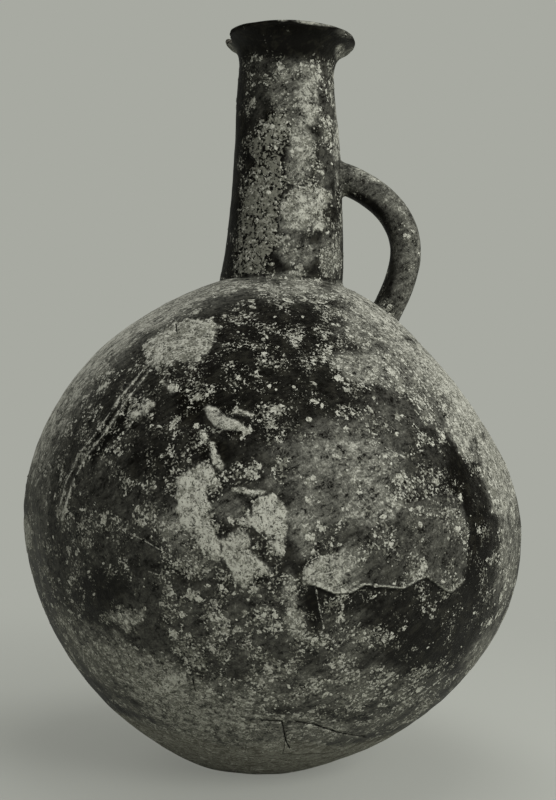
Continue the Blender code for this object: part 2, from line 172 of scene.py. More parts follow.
def wall_at(angles, inward=0.0):
    """Points (radius, height) on the wall by their angle above the girth, and the outward normals there."""
    angles = flat(angles)
    upper = angles > 0
    side = np.where(upper, 1.0, -1.0)
    depth, radial_power, height_power = [
        np.where(upper, high, low) for high, low in zip(UPPER_CURVE, LOWER_CURVE)
    ]
    across = np.cos(angles) ** (2 / radial_power)
    along = np.sin(np.abs(angles)) ** (2 / height_power)
    normals = np.stack((
        radial_power / BODY_RADIUS * across ** (radial_power - 1),
        side * height_power / depth * along ** (height_power - 1),
    ), axis=-1)
    normals /= np.linalg.norm(normals, axis=-1, keepdims=True)
    points = np.stack((BODY_RADIUS * across, GIRTH_HEIGHT + side * depth * along), axis=-1)
    return points - inward * normals, normals


def angle_at_height(height):
    offset = height - GIRTH_HEIGHT
    depth, _, height_power = UPPER_CURVE if offset > 0 else LOWER_CURVE
    return math.copysign(math.asin((abs(offset) / depth) ** (height_power / 2)), offset)


def angle_at_radius(radius, curve):
    angle = math.acos((radius / BODY_RADIUS) ** (curve[1] / 2))
    return angle if curve is UPPER_CURVE else -angle


def neck_radius(height):
    share = np.clip((height - NECK_FOOT_HEIGHT) / NECK_LENGTH, 0, None)
    return NECK_FOOT_RADIUS + (NECK_TOP_RADIUS - NECK_FOOT_RADIUS) * share


def distances(points):
    """How far along the line through them each of the points lies."""
    return np.concatenate(([0], np.cumsum(np.linalg.norm(np.diff(points, axis=0), axis=1))))


def even(lengths, step):
    """Places at even steps of about this length along a line of these distances."""
    return np.linspace(0, lengths[-1], max(2, round(lengths[-1] / step) + 1))


def spaced(points, step):
    """The line through the points, divided again into even steps of about this length."""
    points = flat(points)
    lengths = distances(points)
    return np.stack([np.interp(even(lengths, step), lengths, axis) for axis in points.T], axis=-1)


def wall_rows(low, high, step, inward=0.0):
    """Evenly spaced points on the wall from one angle to another, and the normals there."""
    angles = np.linspace(low, high, WALL_SAMPLES)
    lengths = distances(wall_at(angles, inward)[0])
    return wall_at(np.interp(even(lengths, step), lengths, angles), inward)


def columns(radius, front_step, back_step):
    """Directions round the axis, closer together at the front."""
    front = -math.pi / 2
    front_count = round(2 * FRONT_SPREAD * radius / front_step)
    back_count = round((2 * math.pi - 2 * FRONT_SPREAD) * radius / back_step)
    near = np.linspace(front - FRONT_SPREAD, front + FRONT_SPREAD, front_count, endpoint=False)
    far = np.linspace(front + FRONT_SPREAD, front - FRONT_SPREAD + 2 * math.pi, back_count, endpoint=False)
    return np.concatenate((near, far))


# Places in the photograph's frame

ROLL_COS = math.cos(CAMERA_ROLL)
ROLL_SIN = math.sin(CAMERA_ROLL)


def seen(points):
    """Where points appear in the photograph's frame, in its pixels."""
    x, y, z = (points - flat(CAMERA_PLACE)).T
    scale = FOCAL_PIXELS / y
    u = VIEW_CENTRE[0] + (x * ROLL_COS + z * ROLL_SIN) * scale
    v = VIEW_CENTRE[1] - (z * ROLL_COS - x * ROLL_SIN) * scale
    return np.stack((u, v), axis=-1)


def step_up(low, high, value):
    t = np.clip((value - low) / (high - low), 0, 1)
    return t * t * (3 - 2 * t)


def blob(places, u, v, half_across, half_down, tilt, stray=0.0):
    """1 inside a tilted oval and 0 well outside it, with a soft edge that may stray."""
    turn = math.radians(tilt)
    away = places - flat((u, v))
    along = away[:, 0] * math.cos(turn) + away[:, 1] * math.sin(turn)
    across = away[:, 1] * math.cos(turn) - away[:, 0] * math.sin(turn)
    reach = np.hypot(along / half_across, across / half_down) + stray
    return 1 - step_up(0.55, 1.35, reach)


def to_segments(places, *lines):
    """Distance to the nearest of some lines of straight stretches, and the offset to its side."""
    nearest = np.full(len(places), FAR_OFF)
    offset = nearest.copy()
    for line in map(flat, lines):
        for start, end in zip(line[:-1], line[1:]):
            way = end - start
            length = np.linalg.norm(way)
            way = way / length
            away = places - start
            along = np.clip((away * way).sum(axis=1), 0, length)
            distance = np.linalg.norm(away - along[:, None] * way, axis=1)
            side = away[:, 0] * way[1] - away[:, 1] * way[0]
            closer = distance < nearest
            nearest = np.where(closer, distance, nearest)
            offset = np.where(closer, side, offset)
    return nearest, offset


def inside(places, outline):
    """Depth inside a closed outline, negative outside it, in pixels."""
    outline = flat(outline)
    distance, _ = to_segments(places, np.concatenate((outline, outline[:1])))
    crossings = np.zeros(len(places), dtype=bool)
    for start, end in zip(outline, np.roll(outline, -1, axis=0)):
        spans = (start[1] > places[:, 1]) != (end[1] > places[:, 1])
        rise = end[1] - start[1]
        if rise:
            meets = start[0] + (places[:, 1] - start[1]) * (end[0] - start[0]) / rise
            crossings ^= spans & (places[:, 0] < meets)
    return np.where(crossings, distance, -distance)


# Marks on the jug, placed in the photograph's pixels. An area gives its middle (across, down), its half
# sizes, its clockwise tilt, and its loose lime, whole crust and grey film in hundredths. Later areas lie
# over earlier ones. A crust gives how whole it is and its film in hundredths, how far it stands out in
# tenths of a millimetre, and its outline.

BODY_GROUND = (43, 0, 5)
BODY_AREAS = (
    # left side
    (75, 500, 52, 150, 0, 42, 0, 13), (40, 470, 12, 110, 4, 30, 0, 34),
    # upper left side
    (110, 385, 30, 90, 42, 48, 0, 8),
    # left edge of the shoulder
    (180, 303, 70, 10, -27, 60, 0, 62),
    # foot of the neck, left
    (238, 286, 26, 8, -8, 74, 20, 36),
    # foot of the neck, front
    (290, 292, 44, 12, 0, 88, 24, 34),
    # foot of the neck, right
    (356, 294, 26, 8, 20, 66, 30, 95),
    # front of the shoulder
    (275, 345, 62, 46, 0, 56, 0, 2), (240, 400, 60, 40, 0, 30, 0, 2), (310, 390, 48, 36, 0, 34, 0, 3),
    (192, 405, 22, 14, 0, 24, 0, 0), (150, 470, 24, 30, 35, 32, 0, 3), (110, 430, 12, 34, 35, 26, 0, 1),
    (215, 455, 18, 16, 0, 28, 0, 0), (285, 470, 24, 20, 0, 26, 0, 4), (135, 530, 52, 50, 0, 46, 0, 14),
    (105, 590, 26, 22, 0, 32, 0, 2), (165, 620, 50, 40, 0, 48, 0, 18), (250, 640, 60, 50, 0, 58, 0, 20),
    # round the ring of crust
    (228, 512, 52, 46, 0, 56, 6, 7), (228, 506, 15, 14, 0, 50, 0, 36), (200, 560, 26, 18, 30, 66, 24, 24),
    # soft grey on the right: partly grey film, partly a painted broad sheen of the burnished slip
    (344, 463, 70, 42, 0, 36, 0, 38), (354, 459, 40, 24, 0, 30, 0, 62), (322, 500, 34, 36, 0, 38, 0, 42),
    # right of the shoulder
    (372, 330, 40, 26, 30, 72, 0, 46), (385, 318, 40, 10, 30, 60, 0, 95),
    (425, 366, 40, 20, 42, 78, 24, 98), (462, 400, 16, 52, -28, 80, 60, 120),
    (395, 420, 36, 26, 22, 40, 0, 20), (405, 372, 34, 14, 42, 80, 5, 42),
    (438, 412, 14, 40, -32, 78, 10, 30), (430, 458, 24, 26, 30, 38, 0, 8),
    # right side
    (497, 470, 14, 66, -12, 78, 34, 78), (508, 560, 10, 56, 8, 56, 10, 48),
    (460, 480, 12, 46, -14, 2, 0, 0), (477, 560, 12, 66, 4, 30, 0, 0), (296, 574, 7, 18, 0, 34, 0, 4),
    (332, 545, 24, 7, -20, 36, 0, 14),
    # below the sheet of crust
    (400, 618, 70, 24, -8, 34, 0, 3), (436, 650, 48, 28, -30, 22, 0, 1), (345, 645, 26, 34, 20, 60, 0, 26),
    # the last of these, at 311, 597, is a painted shadow: a black hollow under the end of the sheet
    (292, 604, 8, 32, -6, 80, 56, 60), (313, 612, 7, 20, -6, 30, 0, 0), (311, 597, 8, 9, 0, 0, 0, 0),
    # lower front
    (330, 692, 90, 24, 0, 72, 0, 34), (410, 702, 44, 22, -32, 68, 0, 24), (250, 730, 130, 20, 0, 66, 0, 60),
    (215, 705, 70, 24, 0, 74, 8, 60), (150, 676, 60, 22, 30, 62, 16, 78),
    (100, 660, 18, 56, -42, 52, 0, 60), (478, 655, 10, 30, 32, 52, 0, 44),
    # last, over the others
    (364, 368, 32, 14, 20, 80, 10, 60), (462, 438, 9, 26, -24, 78, 30, 80), (262, 425, 40, 15, 0, 27, 0, 4),
    (372, 506, 30, 20, 0, 46, 0, 66), (302, 530, 15, 28, 0, 48, 0, 56), (174, 528, 13, 18, 0, 76, 30, 60),
    (462, 622, 13, 22, 25, 12, 0, 2), (192, 716, 58, 18, 14, 70, 10, 84), (300, 287, 34, 7, 0, 98, 45, 60),
)
BODY_CRUSTS = (
    (90, 130, 4, (192, 467), (210, 463), (215, 474), (204, 488), (210, 510), (211, 527), (220, 542),
     (222, 555), (218, 562), (208, 555), (195, 537), (180, 522), (175, 512), (178, 502), (177, 478),
     (184, 474)),
    (92, 145, 4, (260, 495), (277, 495), (283, 507), (286, 525), (285, 545), (280, 557), (273, 547),
     (273, 537), (265, 532), (250, 525), (248, 518), (257, 507)),
    (78, 105, 3, (221, 541), (240, 529), (249, 540), (254, 556), (272, 568), (268, 576), (256, 575),
     (243, 587), (235, 583), (232, 571), (221, 556)),
    (95, 100, 4, (210, 443), (213, 443), (219, 458), (229, 467), (222, 470), (213, 463), (210, 456)),
    (95, 120, 4, (227, 487), (240, 488), (253, 490), (265, 491), (264, 494), (253, 495), (240, 493)),
    (86, 55, 5, (141, 345), (181, 319), (211, 319), (217, 327), (213, 347), (200, 360), (150, 366)),
    (90, 90, 4, (139, 404), (146, 400), (153, 404), (151, 411), (138, 417), (128, 418), (131, 413),
     (142, 409)),
    (90, 90, 4, (166, 385), (172, 383), (176, 388), (170, 394), (165, 390)),
    (90, 90, 4, (201, 431), (207, 432), (208, 439), (202, 440)),
    (90, 90, 4, (192, 466), (206, 464), (211, 471), (203, 479), (193, 475)),
    (86, 60, 3, (232, 410), (241, 409), (251, 413), (253, 417), (244, 416), (236, 414)),
    (62, 60, 3, (108, 619), (113, 613), (123, 612), (131, 606), (142, 612), (142, 620), (134, 624),
     (128, 633), (121, 628), (117, 622)),
    (90, 90, 4, (187, 596), (193, 590), (199, 592), (196, 597), (190, 599)),
    (80, 110, 4, (149, 690), (165, 676), (187, 672), (184, 684), (163, 697)),
    (32, 22, 2, (404, 532), (405, 510), (429, 499), (446, 493), (460, 499), (466, 515), (466, 565),
     (464, 581), (451, 593), (440, 588), (425, 576), (414, 560)),
    (80, 90, 3, (20, 520), (26, 517), (31, 530), (31, 546), (25, 553), (21, 540)),
)
NECK_GROUND = (38, 0, 4)
NECK_AREAS = (
    # the dark left side
    (229, 170, 17, 150, 4, 0, 0, 0),
    # the front, from the top down
    (257, 86, 15, 36, 2, 42, 4, 10), (300, 72, 26, 14, 0, 72, 10, 44),
    (286, 102, 16, 22, 2, 60, 28, 40), (309, 104, 11, 26, 0, 40, 0, 98), (300, 148, 13, 26, 0, 50, 6, 78),
    # the thin pale stripe at 338, 120 down the neck's right edge is a painted highlight
    (298, 172, 12, 12, 0, 52, 10, 70), (326, 120, 8, 66, 2, 46, 0, 16), (338, 120, 4, 66, 2, 40, 0, 85),
    (326, 176, 10, 14, 0, 44, 0, 20), (284, 236, 14, 12, 0, 54, 10, 14), (298, 252, 18, 15, 0, 40, 0, 50),
    (296, 212, 24, 20, 0, 66, 0, 60), (331, 254, 12, 26, 0, 84, 46, 30), (292, 277, 16, 6, 0, 80, 50, 60),
    # the mouth; the pale spots at 345, 33 and 340, 54 on the right of the flare are painted light, and the
    # thin line at 314, 23.5 along the lip is a painted highlight
    (290, 33, 100, 26, 0, -60, 0, 0), (262, 64, 16, 7, 0, 36, 0, 14), (345, 33, 9, 6, 0, 44, 0, 20),
    (340, 54, 5, 9, 0, 40, 0, 60), (314, 23.5, 20, 1.6, 8, 40, 0, 110), (282, 20, 6, 1.6, 0, 40, 0, 110),
)
NECK_CRUSTS = (
    (65, -150, 11, (268, 113), (266, 124), (258, 131), (249, 143), (250, 154), (255, 161), (251, 177),
     (244, 185), (242, 200), (240, 214), (239, 229), (238, 250), (238, 277), (262, 274), (272, 257),
     (276, 243), (278, 229), (278, 214), (280, 200), (283, 186), (283, 174), (280, 161), (287, 143),
     (290, 133), (283, 112)),
    (74, 70, 6, (280, 206), (284, 196), (294, 187), (308, 185), (312, 190), (322, 188), (332, 191),
     (332, 200), (327, 207), (319, 210), (314, 209), (316, 214), (308, 221), (296, 222), (286, 223),
     (280, 214)),
    (100, 110, 5, (310, 226), (318, 221), (325, 221), (326, 227), (321, 232), (313, 232)),
    (100, 120, 4, (306, 146), (308, 146), (309, 150), (306, 151)),
    (100, 120, 4, (311, 154), (315, 154), (316, 158), (312, 160)),
    (100, 140, 4, (320, 170), (324, 170), (324, 175), (321, 175)),
    (100, 100, 4, (319, 210), (322, 210), (323, 216), (320, 217)),
    (100, 100, 4, (280, 236), (288, 235), (289, 239), (283, 242)),
)
HANDLE_GROUND = (16, 0, 30)
HANDLE_AREAS = (  # from the neck down
    (368, 174, 20, 7, 24, 46, 14, 68), (400, 200, 12, 24, -35, 22, 0, 48), (411, 255, 8, 50, 5, 18, 0, 44),
    (358, 197, 12, 7, 30, 10, 0, 0), (376, 213, 8, 20, -36, 10, 0, 0), (388, 250, 7, 28, -4, 12, 0, 2),
    (385, 287, 8, 24, 18, 20, 0, 6), (384, 309, 9, 8, 0, 60, 12, 30),
)

LENS = (
    (204, 408), (208, 405), (217, 408), (226, 416), (236, 420), (243, 425), (244, 429), (238, 430),
    (225, 430), (215, 426), (208, 418),
)
LENS_SHADOW = (236, 433, 10, 4, 8)
SHEET = (
    (303, 583), (304, 567), (318, 558), (337, 553), (358, 528), (397, 526), (399, 514), (406, 503),
    (429, 499), (446, 493), (460, 499), (466, 515), (466, 565), (464, 581), (451, 593), (444, 590),
    (427, 577), (418, 581), (404, 589), (377, 587), (365, 585), (352, 593), (335, 594), (315, 586),
)
SHEET_LOWER_EDGE = SHEET[13:]
SHEET_END = (314, 570)
SHEET_TAIL = ((316, 589), (320, 611), (324, 629), (320, 635), (331, 639), (335, 645))
PALE_LINES = (
    SHEET_TAIL,
    ((360, 623), (335, 650)),
    ((119, 528), (145, 541), (171, 556)),
    ((148, 373), (126, 401), (104, 434), (86, 456), (72, 484), (62, 520)),
    ((142, 371), (120, 398), (98, 430), (80, 453), (66, 482), (57, 516)),
    ((304, 584), (303, 570), (309, 561), (318, 557), (337, 554), (352, 556)),
    ((420, 695), (445, 676)),
    ((226, 590), (234, 594)),
    ((150, 572), (159, 575)),
    ((325, 449), (340, 460)),
    ((386, 448), (404, 457)),
    # a painted highlight: the lit rim just above the sheet's lower edge
    tuple((u, v - 1.2) for u, v in SHEET_LOWER_EDGE),
    ((117, 678), (132, 684), (146, 691)),
    ((138, 699), (163, 684)),
)
RIDGES = PALE_LINES[3:5]
CRUMB_PLATE = 0.0050  # across, of the plates that whole crust breaks into
CRUMB_CHANCE = 3.7
CRUMB_SEED = 5
FAR_OFF = 1e3  # pixels

# What each part of the jug carries: its marks, its separate crusts and how high its crumbs stand
BODY_LOOK = (BODY_GROUND, BODY_AREAS, BODY_CRUSTS, 0.0003)
NECK_LOOK = (NECK_GROUND, NECK_AREAS, NECK_CRUSTS, 0.0009)
HANDLE_LOOK = (HANDLE_GROUND, HANDLE_AREAS, (), 0.0)
CRACKS = (
    ((262, 720), (282, 721), (286, 741), (289, 747)),
    ((296, 721), (313, 724), (336, 732), (365, 737)),
    ((193, 680), (195, 690)),
    ((176, 325), (177, 333)),
)


def ripple(points, wavelength, seed):
    """A gentle uneven field between about -1 and 1, the same on every run."""
    chance = np.random.default_rng(seed)
    total = np.zeros(len(points))
    waves = 9
    for _ in range(waves):
        way = chance.normal(size=3)
        way *= math.tau / wavelength * chance.uniform(0.6, 1.5) / np.linalg.norm(way)
        total += np.sin((points * way).sum(axis=1) + chance.uniform(0, math.tau))
    return total / math.sqrt(waves)


def crumbs(points):
    """How high each place lies on crumbly crust, from 0 in a joint to 1 on the highest plates."""
    noise.seed_set(CRUMB_SEED)  # without a seed, vector noise follows the clock
    heights = np.zeros(len(points))
    shift = Vector((CRUMB_CHANCE, 2 * CRUMB_CHANCE, 0))
    for i, point in enumerate(points):
        spot = Vector(point) / CRUMB_PLATE + shift
        reach, centres = noise.voronoi(spot + 0.4 * noise.noise_vector(spot * 1.9))
        joint = min(1.0, (reach[1] - reach[0]) / 0.38)
        heights[i] = joint * (0.7 + 0.3 * noise.cell(centres[0] * 7.3))
    return heights


def levels_at(points, normals, look):
    """Levels of loose lime, crust and film at each place, area over area, and the height of the crust."""
    ground, areas, crusts, crumb_height = look
    places = seen(points)
    levels = np.tile(flat(ground) / 100, (len(places), 1))
    wander = 0.13 * ripple(points, 0.026, 17) + 0.13 * ripple(points, 0.011, 18)
    for *oval, lime, crust, film in areas:
        levels += (flat((lime, crust, film)) / 100 - levels) * blob(places, *oval, wander)[:, None]
    lime, crust, film = levels.T.copy()
    raised = np.zeros(len(places))
    stray = 1.6 * ripple(points, 0.006, 15) + 0.9 * ripple(points, 0.0028, 16)
    for whole, grey, height, *outline in crusts:
        depth = inside(places, outline)
        edge = min(1.0, depth.max() / 5) if depth.max() > 0 else 1.0
        share = step_up(-1.6 * edge, 1.6 * edge, depth + stray * edge)
        shed = step_up(-8.0, 1.0, depth + 2.5 * stray) * edge
        lime += (0.56 - lime) * shed * (lime < 0.56)
        crust += (whole / 100 - crust) * share
        film += (grey / 100 - film) * share
        lime += (0.8 - lime) * share
        raised = np.maximum(raised, height / 1e4 * share)
    if look is BODY_LOOK:
        lime, crust, film = sheet_and_lens(places, lime, crust, film)
        for line in RIDGES:
            near = 1 - step_up(0.5, 2.2, to_segments(places, line)[0] + 0.5 * stray)
            near *= np.clip(0.75 + 0.6 * ripple(points, 0.016, 19), 0.2, 1)
            crust = np.maximum(crust, 0.85 * near)
            film = np.maximum(film, 0.6 * near)
        # painted sheen: pale film laid along the left edge where the surface turns away from the front, for
        # the reflection of the pale surroundings there
        side = step_up(0.0, 0.03, -points[:, 0]) * step_up(0.17, 0.23, points[:, 2])
        side *= 1 - 0.65 * step_up(0.29, 0.33, points[:, 2])
        painted_edge_sheen = (1 - step_up(0.28, 0.60, -normals[:, 1])) * side
        film += painted_edge_sheen * (1.35 + 1.4 * wander - film)

    # the sides and the back that the photograph doesn't show carry the same kinds of marks
    facing = step_up(-0.12, 0.18, -normals[:, 1] + 0.3 * wander)
    lumps = ripple(points, 0.07, 11)
    thick = np.clip(1.2 * ripple(points, 0.03, 12), 0, 1) * np.clip(lumps, 0, 1)
    unseen = np.stack((
        np.clip(0.46 + 0.12 * lumps + 0.3 * thick, 0.2, 0.8),
        np.clip(1.5 * thick - 0.2, 0, 0.95),
        np.clip(0.24 + 0.3 * ripple(points, 0.09, 13) + 0.6 * thick, 0.0, 1.1),
    ), axis=-1)
    levels = np.stack((lime, crust, film), axis=-1)
    levels = levels * facing[:, None] + unseen * (1 - facing[:, None])
    crusted = levels[:, 1] > 0.12
    high = np.zeros(len(points))
    high[crusted] = crumbs(points[crusted])
    whole = levels[:, 1]
    levels[:, 1] = whole * np.where(crusted, 0.62 + 0.66 * high, 1.0)
    raised = raised * facing + crumb_height * np.clip(whole, 0, 1) * high
    return levels, raised


def sheet_and_lens(places, lime, crust, film):
    """The levels with the long sheet of crust and the pale lens laid over them, and painted light: a
    highlight along the sheet's lower edge and shadow below that edge and under the lens.
    """
    on_sheet = step_up(-0.6, 0.8, inside(places, SHEET))
    edge, _ = to_segments(places, SHEET_LOWER_EDGE)
    # painted highlight: pale crust and film in a thin band along the sheet's lower edge, as if lit there
    painted_lit_edge = (1 - step_up(0.6, 2.6, edge)) * on_sheet
    away = np.linalg.norm(places - flat(SHEET_END), axis=1)
    end = 1 - step_up(16, 58, away)
    lime += (0.36 + 0.20 * end - lime) * on_sheet * (1 - crust)
    crust = np.maximum(crust, 0.9 * painted_lit_edge)
    film = np.maximum(film, (0.18 + 0.86 * end) * on_sheet + 0.9 * painted_lit_edge)
    lens = step_up(-0.6, 0.8, inside(places, LENS))
    lime += (0.2 - lime) * lens
    crust += (0.0 - crust) * lens
    film += (0.96 - film) * lens
    # painted shadow below the sheet's lower edge and under the lens: lime, crust and film taken away so the
    # black slip shows
    shade = (1 - step_up(1.0, 5.0, edge)) * (1 - on_sheet)
    shade = np.maximum(shade, blob(places, *LENS_SHADOW) * (1 - lens))
    return lime * (1 - shade), crust * (1 - shade), film * (1 - shade)


def relief(points, normals, look):
    """How far the weathered surface stands out from the smooth form, in metres."""
    facing = step_up(0.02, 0.2, -normals[:, 1])
    places = seen(points)
    _, raised = levels_at(points, normals, look)
    height = 0.00035 * ripple(points, 0.055, 3) + 0.00012 * ripple(points, 0.014, 4) + raised
    if look is not BODY_LOOK:
        return height
    front = np.nonzero(facing > 0)[0]
    near = places[front]
    on_sheet = inside(near, SHEET)
    lower_edge, _ = to_segments(near, SHEET_LOWER_EDGE)
    tail, _ = to_segments(near, SHEET_TAIL)
    marks = 0.0011 * step_up(-0.6, 1.2, on_sheet)
    marks += 0.0009 * step_up(-0.6, 0.9, on_sheet) * (1 - step_up(0, 9, lower_edge))
    marks += 0.0008 * (1 - step_up(0.5, 2.2, tail))
    marks += 0.0012 * step_up(-0.5, 4.0, inside(near, LENS))
    for line in RIDGES:
        marks += 0.0005 * (1 - step_up(0.3, 2.6, to_segments(near, line)[0]))
    for line in CRACKS:
        marks -= 0.0009 * (1 - step_up(0.2, 1.7, to_segments(near, line)[0]))
    height[front] += marks * facing[front]
    return height


def grid_faces(rows, count, poles=False):
    """Faces over a grid of rows round the axis. With poles the first and last rows are single points."""
    grid = np.arange((rows - 2 * poles) * count).reshape(-1, count) + poles
    here, below = (grid[:-1], grid[1:]) if poles else (grid, np.roll(grid, -1, axis=0))
    quads = np.stack((here, below, np.roll(below, -1, axis=1), np.roll(here, -1, axis=1)), axis=-1)
    faces = quads.reshape(-1, 4).tolist()
    if poles:
        faces += [(0, int(a), int(b)) for a, b in zip(grid[0], np.roll(grid[0], -1))]
        faces += [(int(a), 1 + grid.size, int(b)) for a, b in zip(grid[-1], np.roll(grid[-1], -1))]
    return faces


def placed(name, data):
    """A new object in the scene."""
    obj = bpy.data.objects.new(name, data)
    bpy.context.scene.collection.objects.link(obj)
    return obj


def piece(name, points, faces, edges=()):
    mesh = bpy.data.meshes.new(name)
    mesh.from_pydata(points.tolist(), edges, faces)
    mesh.update()
    return placed(name, mesh)


def moulded(name, shape):
    """A piece from an edited mesh."""
    mesh = bpy.data.meshes.new(name)
    shape.to_mesh(mesh)
    shape.free()
    return placed(name, mesh)


def turned(name, profile, normals, weathered, directions, look, poles=False):
    """A fine turned piece. Its profile runs up the inside and down the outside, and the weathered points
    of it get the relief of the real surface. Its attributes tell which way those points face, and where
    they end."""
    profile = flat(profile)
    cos, sin = np.cos(directions), np.sin(directions)
    x = profile[:, 0, None] * cos + drift(profile[:, 1])[:, None]
    y = profile[:, 0, None] * sin
    z = np.broadcast_to(profile[:, 1, None], x.shape)
    points = np.stack((x, y, z), axis=-1)
    ways = np.stack((
        normals[:, 0, None] * cos,
        normals[:, 0, None] * sin,
        np.broadcast_to(normals[:, 1, None], x.shape),
    ), axis=-1)
    worked = points[weathered].reshape(-1, 3)
    out = ways[weathered].reshape(-1, 3)
    share = np.repeat(flat(weathered)[weathered.nonzero()], len(directions))
    moved = worked + out * (relief(worked, out, look) * share)[:, None]
    points[weathered] = moved.reshape(points[weathered].shape)
    ways[~weathered] = 0
    if poles:
        points, ways = [np.concatenate((a[0, :1], a[1:-1].reshape(-1, 3), a[-1, :1])) for a in (points, ways)]
    made = piece(name, points.reshape(-1, 3), grid_faces(len(profile), len(directions), poles))
    store(made.data, "outwards", ways)
    if look is BODY_LOOK and not poles:
        ends = weathered & ~(np.roll(weathered, 1) & np.roll(weathered, -1))
        store(made.data, "rim", np.repeat(ends, len(directions)))
    return made


def joined(*stretches):
    """A profile from stretches of (points, normals, weathered)."""
    profile = np.concatenate([points for points, _, _ in stretches])
    normals = np.concatenate([normals for _, normals, _ in stretches])
    weathered = np.concatenate([np.full(len(points), worn) for points, _, worn in stretches])
    return profile, normals, weathered


def stretch(points, weathered=False):
    """Profile points with normals taken from the way they run. Outside, they run downwards."""
    points = flat(points)
    ways = np.gradient(points, axis=0) if len(points) > 1 else np.array([[0.0, -1.0]])
    ways /= np.maximum(np.linalg.norm(ways, axis=1, keepdims=True), 1e-12)
    return points, np.stack((-ways[:, 1], ways[:, 0]), axis=-1), weathered


BODY_DIRECTIONS = columns(BODY_RADIUS, FRONT_STEP, BACK_STEP)


def wall(low, high, inner_low, inner_high):
    """The outside of the wall between two angles, from the top down, and the inside between two others."""
    points, normals = wall_rows(low, high, FRONT_STEP)
    ends, _ = wall_at([low, high])
    inner_step = np.linalg.norm(ends[1] - ends[0]) / INNER_ROWS
    inner, _ = wall_rows(inner_low, inner_high, inner_step, BODY_WALL)
    return (points[::-1], normals[::-1], True), inner


def course(name, bottom, top):
    outer, inner = wall(*map(angle_at_height, (bottom, top, bottom + SEAM_SLANT, top + SEAM_SLANT)))
    return turned(name, *joined(stretch(inner), outer), BODY_DIRECTIONS, BODY_LOOK)


def make_shoulder():
    outer, inner = wall(
        angle_at_height(SHOULDER_SEAM_HEIGHT),
        angle_at_radius(NECK_FOOT_RADIUS, UPPER_CURVE),
        angle_at_height(SHOULDER_SEAM_HEIGHT + SEAM_SLANT),
        angle_at_radius(NECK_FOOT_RADIUS + BODY_WALL, UPPER_CURVE),
    )
    edge = flat([(NECK_FOOT_RADIUS, NECK_FOOT_HEIGHT - BODY_WALL)])
    profile = joined(stretch(np.concatenate((inner, edge))), outer)
    return turned("shoulder", *profile, BODY_DIRECTIONS, BODY_LOOK)


def base_profile():
    outer, inner = wall(
        angle_at_radius(BASE_EDGE_RADIUS, LOWER_CURVE),
        angle_at_height(BASE_SEAM_HEIGHT),
        angle_at_radius(BASE_EDGE_RADIUS + BODY_WALL, LOWER_CURVE),
        angle_at_height(BASE_SEAM_HEIGHT + SEAM_SLANT),
    )
    worn_edge = [
        (BASE_EDGE_RADIUS - WORN_EDGE_WIDTH * across, WORN_EDGE_RISE * up)
        for across, up in ((0.15, 0.72), (0.4, 0.36), (0.7, 0.1))
    ]
    floor = np.linspace((0, FLOOR_THICKNESS), (BASE_RADIUS, FLOOR_THICKNESS), 8)
    underside = np.linspace((BASE_RADIUS, 0), (0, 0), 12)
    inside_rows = np.concatenate((floor, inner))
    under_rows = np.concatenate((worn_edge, underside))
    return joined(stretch(inside_rows), outer, stretch(under_rows))


def grown(outline, by):
    """The outline with each side moved outwards. The outline runs clockwise."""
    points = [Vector(p) for p in outline]
    result = []
    for i, point in enumerate(points):
        before = (point - points[i - 1]).normalized()
        after = (points[(i + 1) % len(points)] - point).normalized()
        out_before = Vector((-before.y, before.x))
        middle = (out_before + Vector((-after.y, after.x))).normalized()
        result.append(point + middle * by / middle.dot(out_before))
    return result


def ragged(outline, size, seed):
    """The outline with its long sides broken into short, slightly stray ones, as clay cracks."""
    chance = np.random.default_rng(seed)
    result = []
    for start, end in zip(outline, list(outline[1:]) + [outline[0]]):
        count = max(1, round((Vector(end) - Vector(start)).length / 0.004))
        for i in range(count):
            point = Vector(start).lerp(Vector(end), i / count)
            stray = chance.uniform(-size, size, 2) if i else (0, 0)
            result.append(point + Vector(stray))
    return result


def sherd_prism(name, by):
    outline = grown(ragged(SHERD_OUTLINE, 0.0005, 5), by)
    outwards = Vector((math.cos(SHERD_AZIMUTH), math.sin(SHERD_AZIMUTH), 0))
    across = Vector((-outwards.y, outwards.x, 0))
    shape = bmesh.new()
    rings = []
    for reach in (BASE_RADIUS, BODY_RADIUS):
        rings.append([
            shape.verts.new(outwards * reach + across * p.x + Vector((0, 0, BASE_SEAM_HEIGHT + p.y)))
            for p in outline
        ])
    shape.faces.new(rings[0])
    shape.faces.new(rings[1][::-1])
    for i in range(len(outline)):
        after = (i + 1) % len(outline)
        shape.faces.new((rings[0][i], rings[1][i], rings[1][after], rings[0][after]))
    bmesh.ops.recalc_face_normals(shape, faces=shape.faces)
    return moulded(name, shape)


def baked(obj):
    """The piece with its modifier's result as a plain mesh."""
    bpy.context.view_layer.update()
    graph = bpy.context.evaluated_depsgraph_get()
    mesh = bpy.data.meshes.new_from_object(obj.evaluated_get(graph))
    obj.modifiers.clear()
    old = obj.data
    obj.data = mesh
    bpy.data.meshes.remove(old)
    return obj


def carved(obj, tool, operation="DIFFERENCE", tool_material=None):
    """The piece after a cut. The cut's faces take the material of the tool."""
    if tool_material:
        tool.data.materials.append(tool_material)
    modifier = obj.modifiers.new("cut", "BOOLEAN")
    modifier.operation = operation
    modifier.object = tool
    modifier.solver = "EXACT"
    modifier.material_mode = "TRANSFER"
    baked(obj)
    bpy.data.objects.remove(tool, do_unlink=True)
    return obj


def shaped(obj, tree, sizes):
    """The piece as a node tree makes it from the object's own mesh."""
    modifier = obj.modifiers.new(tree.name, "NODES")
    modifier.node_group = tree
    for item in tree.interface.items_tree:
        if item.in_out == "INPUT" and item.name in sizes:
            modifier[item.identifier] = sizes[item.name]
    return baked(obj)


